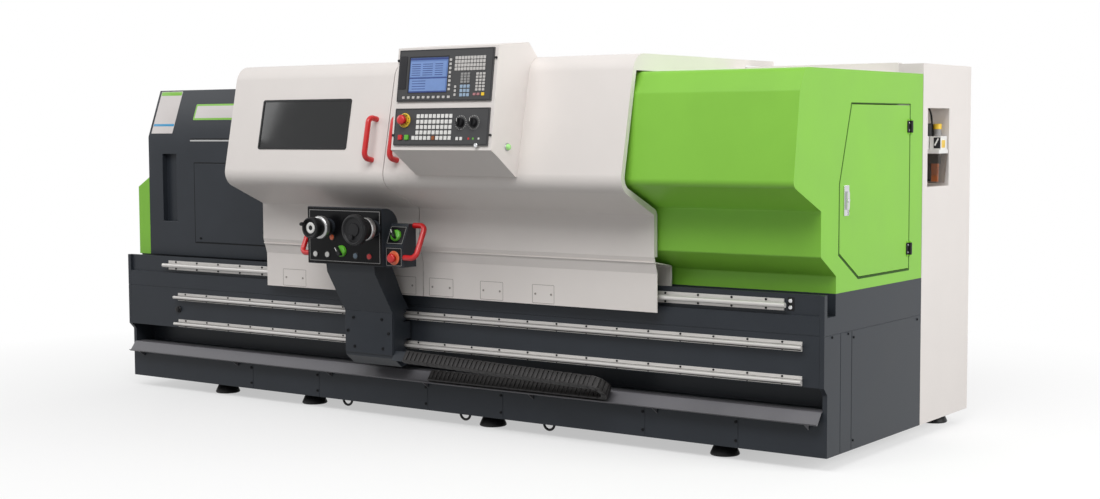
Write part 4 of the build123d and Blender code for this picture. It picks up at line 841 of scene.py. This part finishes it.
def screen():
    at = pendant_face(*screen_place, panel_thickness - screen_depth)
    put("screen_frame", "right_door", panel_shade, [(border(206, 150, 4, 2.5, 3), at)])
    fields = {
        "screen_glass": (screen_blue, [(0, 0, 198, 142, 0.6)]),
        "screen_fields": (screen_pale, [(-3, 24, 186, 62, 0.9), (-3, -40, 186, 48, 0.9)]),
        "screen_bars": (screen_deep, [(0, 65, 198, 8, 1.0), (0, -12, 198, 4, 1.0), (0, -68, 198, 5, 1.0)]),
    }
    for name, (look, places) in fields.items():
        put(name, "right_door", look, [(plate(*size, 1, 0.1), at @ move(x, y)) for x, y, *size in places])
    rows = [(x, y, width) for y in spread(0, 44, 6) for x, width in ((-66, 46), (-6, 52), (52, 40))]
    rows += [(-48, y, 70) for y in spread(-56, -24, 4)]
    lines = [(plate(width, 2.4, 1.2, 0.8, 0.1), at @ move(x, y)) for x, y, width in rows]
    put("screen_lines", "right_door", screen_deep, lines)


def keypad_keys():
    columns, brown_column = spread(124, 292, 9), 208
    rows, last_row, mark_row = [135.5, 113, 91.5, 69.7], [47.8], [45]
    last_columns = [105] + [x for x in columns if x != brown_column]
    put_keys("keypad_keys", white_plastic, [
        (columns, rows, 15, 16), (last_columns, last_row, 15, 16), ([331, 351], mark_row, 12, 13)], 3)
    put_keys("keypad_brown_key", brown_oil, [([brown_column], last_row, 15, 16)], 3)
    marks = {"red": (red_plastic, 388), "green": (green_plastic, 411), "white": (white_plastic, 439)}
    for colour, (look, x) in marks.items():
        put_keys(f"keypad_marks_{colour}", look, [([x], mark_row, 8, 8)], 1)
    lock = [(9, 0), (9, 4), (7, 6), (3, 6), (3, 5)]
    put("key_lock", "right_door", chrome, [(lathe(lock, 24), pendant_face(429, 19))])


def override_knobs():
    faces = {body: pendant_face(x, knob_row) for body, x in knob_places.items()}
    put("knob_ticks", "right_door", white_plastic, [
        (plate(1.4, 5, 0.5, 0.3, 0.1), face @ turn(360 * number / 20, "Z") @ move(0, 27))
        for face in faces.values() for number in range(20)])
    for body, face in faces.items():
        at = face @ move(0, 0, run_gap)
        skirt = fluted([(18, 0.8, 0), (18, 0.8, 12), (16, 0.6, 17), (15, 0.2, 18)], 20)
        bar = plate(10, 33, 10, 3, 1.5)
        put(f"{body}_grip", body, black_plastic, [(skirt, at), (bar, at @ move(0, 0, 18))], replaced=body)
        put(f"{body}_pointer", body, white_plastic, [(plate(2, 14, 0.5, 0.5, 0.1), at @ move(0, 8, 28))])


def stop_buttons():
    pendant = pendant_face(*pendant_estop_place, panel_thickness + 5)
    station = wing_lower(40)
    collar = [(13, -5), (29, -5), (29, -1), (27, 0), (13, 0), (13, -5)]
    put("estop_ring", "right_door", yellow_plastic, [(lathe(collar, 40), pendant)])
    flat = [(13, 0), (30, 0), (30, 2), (27, 4), (13, 4), (13, 0)]
    put("wing_estop_ring", "station", orange_plastic, [(lathe(flat, 40), station)])
    mushroom = [(11, -4), (11, 11), (17, 12), (20, 16), (20, 21), (18.5, 25), (15, 27.4), (8, 28)]
    for body, at in (("pendant_estop", pendant), ("station_estop", station)):
        put(f"{body}_head", body, red_plastic, [(lathe(mushroom, 40), at)], replaced=body)


def pendant_fittings():
    side = facing_right(pendant_left + pendant_width, *lamp_place)
    lamp = [(13, 3), (12.5, 9), (10, 13), (6, 15.4), (0, 16)]
    collar = [(16, 0), (16, 3), (14, 4)]
    put("green_lamp", "right_door", lamp_green, [(lathe(lamp), side)])
    put("lamp_collar", "right_door", machined, [(lathe(collar), side)])
    knob = [(5, 0), (5, 5), (4, 6.5)]
    knobs = [(lathe(knob, 16), pendant_face(x, y, 0)) for x in (-8, panel_width + 8) for y in (60, 365)]
    put("panel_screws_black", "right_door", black_plastic, knobs)


# Control station
def station_plates():
    width = box_right - box_left
    front = station_face((box_left + box_right) / 2, box_height / 2)
    upper, lower = wing_upper(48), wing_lower(44)
    put("station_plate", "station", black_gloss, [(plate(width - 6, box_height - 6, 1.2, 3, 0.5), front)])
    put("wing_plates", "station", black_gloss, [
        (plate(wing_width - 8, 84, 1, 2, 0.4), upper), (plate(wing_width - 8, 82, 1, 2, 0.4), lower)])
    put("station_lines", "station", grey_plastic, [
        (border(width - 26, box_height - 26, 2.2, 1.6, 2), front),
        (border(wing_width - 14, 78, 2, 1.4, 2), upper),
        (border(wing_width - 14, 76, 2, 1.4, 2), lower)])


def station_buttons():
    bezel = [(12.6, 0.5), (12.6, 3.4), (15, 3.4), (16.5, 2.2), (16.5, 0)]
    cap = [(12, -3), (12, 5), (11, 6.6), (8.5, 7), (0, 7.2)]
    row = {"white_button_1": (-169, 42, white_plastic), "white_button_2": (-99, 42, white_plastic),
           "blue_button": (66, 42, blue_plastic), "red_button": (145, 42, red_plastic),
           "orange_button": (-70, 118, orange_plastic)}
    bezels = []
    for body, (x, rise, look) in row.items():
        at = station_face(station_x + x, rise)
        bezels.append((lathe(bezel), at @ move(0, 0, 1.2)))
        put(f"{body}_cap", body, look, [(lathe(cap), at)], replaced=body)
    put("button_bezels", "station", black_plastic, bezels)


def selectors():
    disc = [(25, run_gap), (25, 9), (23, 13), (14, 16)]
    for body, at in (("front_selector", station_face(station_x - 14, 60)), ("wing_selector", wing_upper(45))):
        put(f"{body}_disc", body, green_plastic, [(lathe(disc, 40), at)], replaced=body)
        lever = at @ turn(lever_angle, "Z")
        put(f"{body}_lever", body, black_plastic, [(plate(12, 44, 20, 5, 2), lever @ move(0, 0, 16))])
        put(f"{body}_mark", body, white_plastic, [(plate(3, 18, 0.6, 1, 0.2), lever @ move(0, 10, 36))])


def handwheels():
    rise = wheel_height - arm_top
    left, right = (station_face(station_x + x, rise) @ move(0, 0, bezel_height) for x in wheel_offsets)
    hub = [(33, run_gap), (33, 34)]
    left_rim = [(40, 60), (42, 78), (45, 80), (46, 84), (46, 106), (44, 111), (40, 112), (36, 110),
                (34, 104), (26, 103)]
    crank = [(5, 0), (5, 4), (8, 8), (8.5, 20), (7, 25), (0, 26)]
    put("left_wheel_rim", "left_handwheel", black_plastic, [
        (lathe(hub, 40), left), (lathe(left_rim, 48), left),
        (lathe(crank, 24), left @ turn(150, "Z") @ move(34, 0, 110))], replaced="left_handwheel")
    scale = [(50, 0.6, 34), (50, 0.6, 52)]
    left_scale = fluted(scale + [(48, 0.2, 56), (42, 0.2, 60)], 50)
    put("left_wheel_scale", "left_handwheel", machined, [(left_scale, left)])
    boss = [(11, 103), (24, 103), (24, 105), (22, 106), (13, 106), (11, 105), (11, 103)]
    put("left_wheel_boss", "left_handwheel", white_plastic, [(lathe(boss, 40), left)])
    drum = [(46, 52), (47, 70), (50, 92)]
    right_rim = [(57, 92), (63, 94), (66, 99), (66, 118), (63, 124), (57, 126), (53, 124), (50, 119),
                 (29, 117), (27, 121), (0, 122)]
    grip = [(6, 0), (6, 3), (10, 6), (11, 10), (9, 13), (0, 14)]
    put("right_wheel_rim", "right_handwheel", black_plastic, [
        (lathe(hub, 40), right), (lathe(drum, 48), right), (lathe(right_rim, 56), right),
        (lathe(grip, 24), right @ turn(250, "Z") @ move(34, 0, 116))], replaced="right_handwheel")
    right_scale = fluted(scale + [(47, 0.2, 56)], 50)
    put("right_wheel_scale", "right_handwheel", machined, [(right_scale, right)])


def station_grips():
    parts = []
    for side, x in ((-1, box_left), (1, box_right + wing_width)):
        at = frame_at((x, grip_y, arm_top + grip_rise), (0, side, 0), (side, 0, 0))
        parts.append((bar_handle(grip_span, grip_stand), at @ turn(-side * grip_lean, "Z")))
    put("station_grips", "station", red_plastic, parts, replaced="station_handles")


def arm_cover():
    cover = plate(arm_width - 6, extent(cover_heights), cover_thickness, 3, 1)
    at = facing_front(station_x, arm_face_reach, mid(cover_heights))
    put("arm_cover", "station", dark_paint, [(cover, at)])
    left = station_x - arm_width / 2
    parts = [(screw(*arm_screw), facing_front(left + share * arm_width, arm_face_reach + cover_thickness, z))
             for share, z in arm_screw_places]
    put("arm_screws", "station", dark_seam, parts)


# Cable chain
def chain_link():
    """One link along +x: two side plates with round ends and a ribbed cover above and below."""
    parts = []
    for side in (-1, 1):
        wall = plate(link_pitch + link_lap, link_height, side_thickness, 11, 0.8)
        middle = move(link_pitch / 2, side * (chain_width - side_thickness) / 2)
        parts.append((wall, middle @ turn(90, "X") @ move(0, 0, -side_thickness / 2)))
        for share in (0.25, 0.75):
            rib = plate(link_pitch / 2 - link_groove, chain_width - 8, 4, 2, 1.2)
            lift = move(link_pitch * share, 0, side * (link_height / 2 - 3.5))
            parts.append((rib, lift if side > 0 else lift @ turn(180, "X")))
    core = plate(link_pitch, chain_width - 12, link_height - 10, 2, 1)
    parts.append((core, move(link_pitch / 2, 0, 5 - link_height / 2)))
    return parts


def links_at(frames):
    return [(solid, at @ place) for at in frames for solid, place in chain_link()]


def chain():
    low = link_height / 2 + run_gap
    foot = lip_frame(chain_anchor_x) @ move(0, chain_middle, low)
    lower = make("chain_lower_links", chain_plastic,
                 links_at(foot @ move(number * link_pitch, 0) for number in range(lower_links)))
    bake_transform(lower)
    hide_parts("chain_lower_run")

    axis = lip_frame(loop_x) @ move(0, chain_middle, low + bend_radius)
    rim = move(-link_pitch / 2, 0, -bend_radius)
    turns = [turn(-180 * (number + 0.5) / loop_links, "Y") for number in range(loop_links)]
    put("chain_loop_links", "chain_loop", chain_plastic, links_at(axis @ step @ rim for step in turns),
        replaced="chain_loop")

    run = upper_links * link_pitch
    climb = Matrix.Rotation(atan2(chain_climb, run), 4, "Y")
    start = lip_frame(loop_x) @ move(0, chain_middle, low + 2 * bend_radius) @ climb
    upper = make("chain_upper_links", chain_plastic,
                 links_at(start @ move(-(number + 1) * link_pitch, 0) for number in range(upper_links)))
    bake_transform(upper)
    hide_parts("chain_upper_run")


# Right end
def access_painted_shade():
    """Dark green line in the joint round the access opening, painted shade that is wider along the lower
    edges.
    """
    loops = [[(y, z, height) for y, z in outline] for outline, height in (
        (access_corners, 0), (access_corners, 0.5), (access_shade_corners, 0.5), (access_shade_corners, 0))]
    put("access_painted_shade", "base", painted_shade_green, [(ring(loops), facing_right(half_length, 0, 0))])


def access_fittings():
    leaves, screws = [], []
    pin = [(7, -25), (7, 25)]
    for z in access_hinge_heights:
        at = facing_right(half_length, access_hinge_y, z)
        leaves.append((plate(54, 49, 4, 5, 1), at))
        leaves.append((lathe(pin, 24), facing_up(half_length + 7, access_hinge_y, z)))
        places = corners(hinge_screw_offset, hinge_screw_offset, 4)
        screws += [(screw(*hinge_screw), at @ place) for place in places]
    put("access_hinges", "base", black_plastic, leaves)
    put("hinge_screws", "base", chrome, screws)
    seat = plate(*latch_seat, 3, 0.5)
    put("latch_plate", "access_door", chrome, [(seat, facing_right(half_length, *latch_middle))])


def lubricator_fittings():
    front = facing_front(mid(pump_span_x) + 8, -pump_span_y[0], mid(pump_span_z))
    tag = facing_right(pump_span_x[1], pump_span_y[0] + 23, pump_span_z[0] + 24)
    put("pump_head", "base", white_plastic, [block_at(pump_span_x, pump_span_y, pump_span_z)])
    put("pump_plate", "base", panel_shade, [(plate(30, 46, 1, 2, 0.3), front)])
    stripe = front @ move(-2, 4) @ turn(-28, "Z")
    put("pump_stripe", "base", white_plastic, [(plate(7, 34, 1.4, 1, 0.3), stripe)])
    put("pump_tag", "base", yellow_plastic, [(plate(36, 32, 1, 2, 0.3), tag)])
    filler, motor = (facing_up(*place, pump_span_z[1]) for place in (filler_place, motor_place))
    turned = {
        "filler_neck": (grey_plastic, filler, [(16, 0), (16, 30)]),
        "filler_cap": (yellow_plastic, filler, [(18, 30), (18, 50), (15, 53)]),
        "pump_motor": (black_plastic, motor, [(29, 0), (29, 50), (26, 54)]),
    }
    for name, (look, at, profile) in turned.items():
        put(name, "base", look, [(lathe(profile), at)])


def oil():
    (left, right), (low, high) = tank_span_x, tank_span_z
    put("oil_strainer", "base", dark_seam, [
        block_at((left, oil_left), strainer_span_y, (low, oil_level), 4, 1),
        block_at((left, right), strainer_span_y, (oil_level, high), 4, 1)])
    put("oil_fill", "base", brown_oil, [block_at((oil_left, right), oil_span_y, (low, oil_level), 4, 1)])
    start, bend, end = (Vector(point) for point in pipe_points)
    pipe = [start * (1 - share) ** 2 + bend * 2 * share * (1 - share) + end * share ** 2
            for share in spread(0, 1, 13)]
    put("oil_tube", "base", black_plastic, [(tube(pipe, pipe_radius), facing_up(0, 0, 0))])


# Rear and left end
def filter_grille():
    """Square filter cover of the cabinet: a frame with slats, which look down."""
    parts = [(border(grille_size, grille_size, 16, 12, 8), move(0, 0))]
    opening = grille_size - 2 * grille_border
    pitch = opening / grille_slats
    for number in range(grille_slats):
        y = (number + 0.5) * pitch - opening / 2
        parts.append((plate(grille_size - 30, pitch * 0.9, 3, 1, 0.5), move(0, y, 5) @ turn(-24, "X")))
    return parts


def cabinet_rear():
    grilles, backs = [], []
    for x, z in grille_places:
        at = facing_rear(x, cabinet_back, z)
        grilles += [(solid, at @ place) for solid, place in filter_grille()]
        backs.append((plate(grille_size - 28, grille_size - 28, 1, 2, 0.3), at))
    put("cabinet_grilles", "cabinet_door", grille_plastic, grilles)
    put("grille_backs", "cabinet_door", panel_shade, backs)
    at = facing_rear(*cabinet_latch_place)
    put("cabinet_latch_seat", "cabinet_door", black_plastic, [(plate(38, 170, 6, 8, 2), at)])
    lock = [(8, 0), (8, 5), (6, 7)]
    put("cabinet_latch_lever", "cabinet_door", chrome, [
        (plate(22, 120, 9, 7, 3), at @ move(0, -8, 6)), (lathe(lock, 24), at @ move(0, 66, 6))])


def rear_covers():
    """Screwed covers on the rear of the base."""
    height = extent(rear_cover_heights)
    covers, lines, screws = [], [], []
    for span in rear_cover_spans:
        width = extent(span)
        at = facing_rear(mid(span), base_depth, mid(rear_cover_heights))
        covers.append((plate(width, height, 3, 6, 1), at))
        lines.append((border(width + 8, height + 8, 4, 0.6, 6), at))
        screws += [(screw(*panel_screw), at @ move(share_x * width, share_z * height, 3))
                   for share_x in (-0.47, 0, 0.47) for share_z in (-0.44, 0.44)]
    put("rear_covers", "base", dark_paint, covers)
    put("rear_cover_lines", "base", dark_seam, lines)
    put("rear_cover_screws", "base", dark_seam, screws)


def rear_guard_joints():
    """Joints of the rear guard's sheets, with a row of screws on both sides."""
    low, high = guard_joint_heights
    joints, screws = [], []
    for x in guard_joints:
        joints.append((plate(5, high - low, 0.6, 0.4, 0.1), facing_rear(x, guard_back, (low + high) / 2)))
        for side in (-guard_screw_offset, guard_screw_offset):
            for z in spread(low + 40, high - 40, 5):
                screws.append((screw(*sheet_screw), facing_rear(x + side, guard_back, z)))
    put("guard_joints", "base", soft_line, joints)
    put("guard_screws", "base", machined, screws)


def headstock_vent():
    """Louvres for the motor's air in the rear of the headstock cover."""
    x, z = vent_place
    at = facing_rear(x, headstock_back, z)
    slats = [(plate(vent_width, vent_height, 3, 8, 1), at)]
    for column in (-vent_width / 4, vent_width / 4):
        for y in spread(30 - vent_height / 2, vent_height / 2 - 30, vent_slats):
            slats.append((plate(vent_width / 2 - 40, 18, 5, 4, 2), at @ move(column, y, 4) @ turn(18, "X")))
    put("headstock_vent", "base", dark_paint, slats)
    places = corners(vent_width / 2 - 14, vent_height / 2 - 14, 3)
    put("vent_screws", "base", dark_seam, [(screw(*sheet_screw), at @ corner) for corner in places])


def left_end():
    parts = [(screw(*end_screw), facing_left(-half_length, y, z)) for y, z in end_screw_places]
    put("left_end_screws", "base", dark_seam, parts)
    bolts = [(screw(*belt_cover_bolt), facing_left(-half_length, y, z)) for y, z in belt_cover_bolts]
    put("belt_cover_bolts", "base", black_plastic, bolts)


# Light, floor and camera
def area_light(name, place, aim, size, power):
    lamp = bpy.data.lights.new(name, "AREA")
    lamp.shape = "RECTANGLE"
    lamp.size, lamp.size_y = size
    lamp.energy = power
    light = bpy.data.objects.new(name, lamp)
    light.location = place
    light.rotation_euler = (Vector(aim) - Vector(place)).to_track_quat("-Z", "Y").to_euler()
    bpy.context.scene.collection.objects.link(light)


def seen(tree):
    """1 for what the camera sees directly, in gloss or through glass, and 0 for light on the object."""
    path = add_node(tree, "ShaderNodeLightPath")
    sight = path.outputs["Is Camera Ray"]
    for ray in ("Is Glossy Ray", "Is Transmission Ray"):
        either = add_node(tree, "ShaderNodeMath", {0: sight, 1: path.outputs[ray]}, operation="MAXIMUM")
        sight = either.outputs[0]
    return sight


def studio():
    world = bpy.data.worlds.new("studio")
    bpy.context.scene.world = world
    world.use_nodes = True
    tree = world.node_tree
    strength = add_node(tree, "ShaderNodeMapRange", {"Value": seen(tree), "To Min": 0.30, "To Max": 1.0})
    feed(tree, tree.nodes["Background"], {"Color": (1, 1, 1, 1), "Strength": strength.outputs["Result"]})
    for light in lights:
        area_light(*light)


def floor():
    """Pale floor that keeps the shadow near the machine and fades to the white of the background."""
    bpy.ops.mesh.primitive_plane_add(size=floor_size)
    ground = bpy.context.object
    ground.name = "studio_floor"
    look = bpy.data.materials.new("floor_white")
    look.use_nodes = True
    tree = look.node_tree
    sight = seen(tree)
    tone = add_node(tree, "ShaderNodeMapRange", {"Value": sight, "To Min": 0.35, "To Max": 0.95})
    shader = tree.nodes["Principled BSDF"]
    feed(tree, shader, {"Base Color": tone.outputs["Result"], "Roughness": 0.9, "Specular IOR Level": 0.0})
    place = add_node(tree, "ShaderNodeTexCoord")
    distance = add_node(tree, "ShaderNodeVectorMath", {0: place.outputs["Object"]}, operation="LENGTH")
    fade = add_node(tree, "ShaderNodeMapRange", {
        "Value": distance.outputs["Value"], "From Min": 1.5, "From Max": 4.0, "To Min": 0.5, "To Max": 1.0})
    share = add_node(tree, "ShaderNodeMath", {0: sight, 1: fade.outputs["Result"]}, operation="MULTIPLY")
    bright = add_node(tree, "ShaderNodeEmission")
    mix = add_node(tree, "ShaderNodeMixShader", {
        "Fac": share.outputs[0], 1: shader.outputs["BSDF"], 2: bright.outputs["Emission"]})
    feed(tree, tree.nodes["Material Output"], {"Surface": mix.outputs["Shader"]})
    ground.data.materials.append(look)


def camera():
    lens = bpy.data.cameras.new("photo_camera")
    lens.sensor_width = camera_sensor
    lens.lens = camera_lens
    eye = bpy.data.objects.new("photo_camera", lens)
    place = Matrix.Translation(machine_origin + Vector(camera_place) * MM)
    aim = turn(camera_yaw, "Z") @ turn(90 - camera_pitch, "X") @ turn(camera_roll, "Z")
    eye.matrix_world = place @ aim
    bpy.context.scene.collection.objects.link(eye)
    bpy.context.scene.camera = eye


for build in (
    rails, flange_screws, base_screws, end_panel, cable_plug, rail_stop, feet, eyes,
    headstock_trim, hatch_screws, blank_labels, door_handles, window_seal, hatches_in_skirts,
    display_keys, screen, keypad_keys, override_knobs, stop_buttons, pendant_fittings,
    station_plates, station_buttons, selectors, handwheels, station_grips, arm_cover, chain,
    access_painted_shade, access_fittings, lubricator_fittings, oil, cabinet_rear, rear_covers, rear_guard_joints,
    headstock_vent, left_end, studio, floor, camera,
):
    build()
bpy.context.scene.view_settings.view_transform = "Standard"
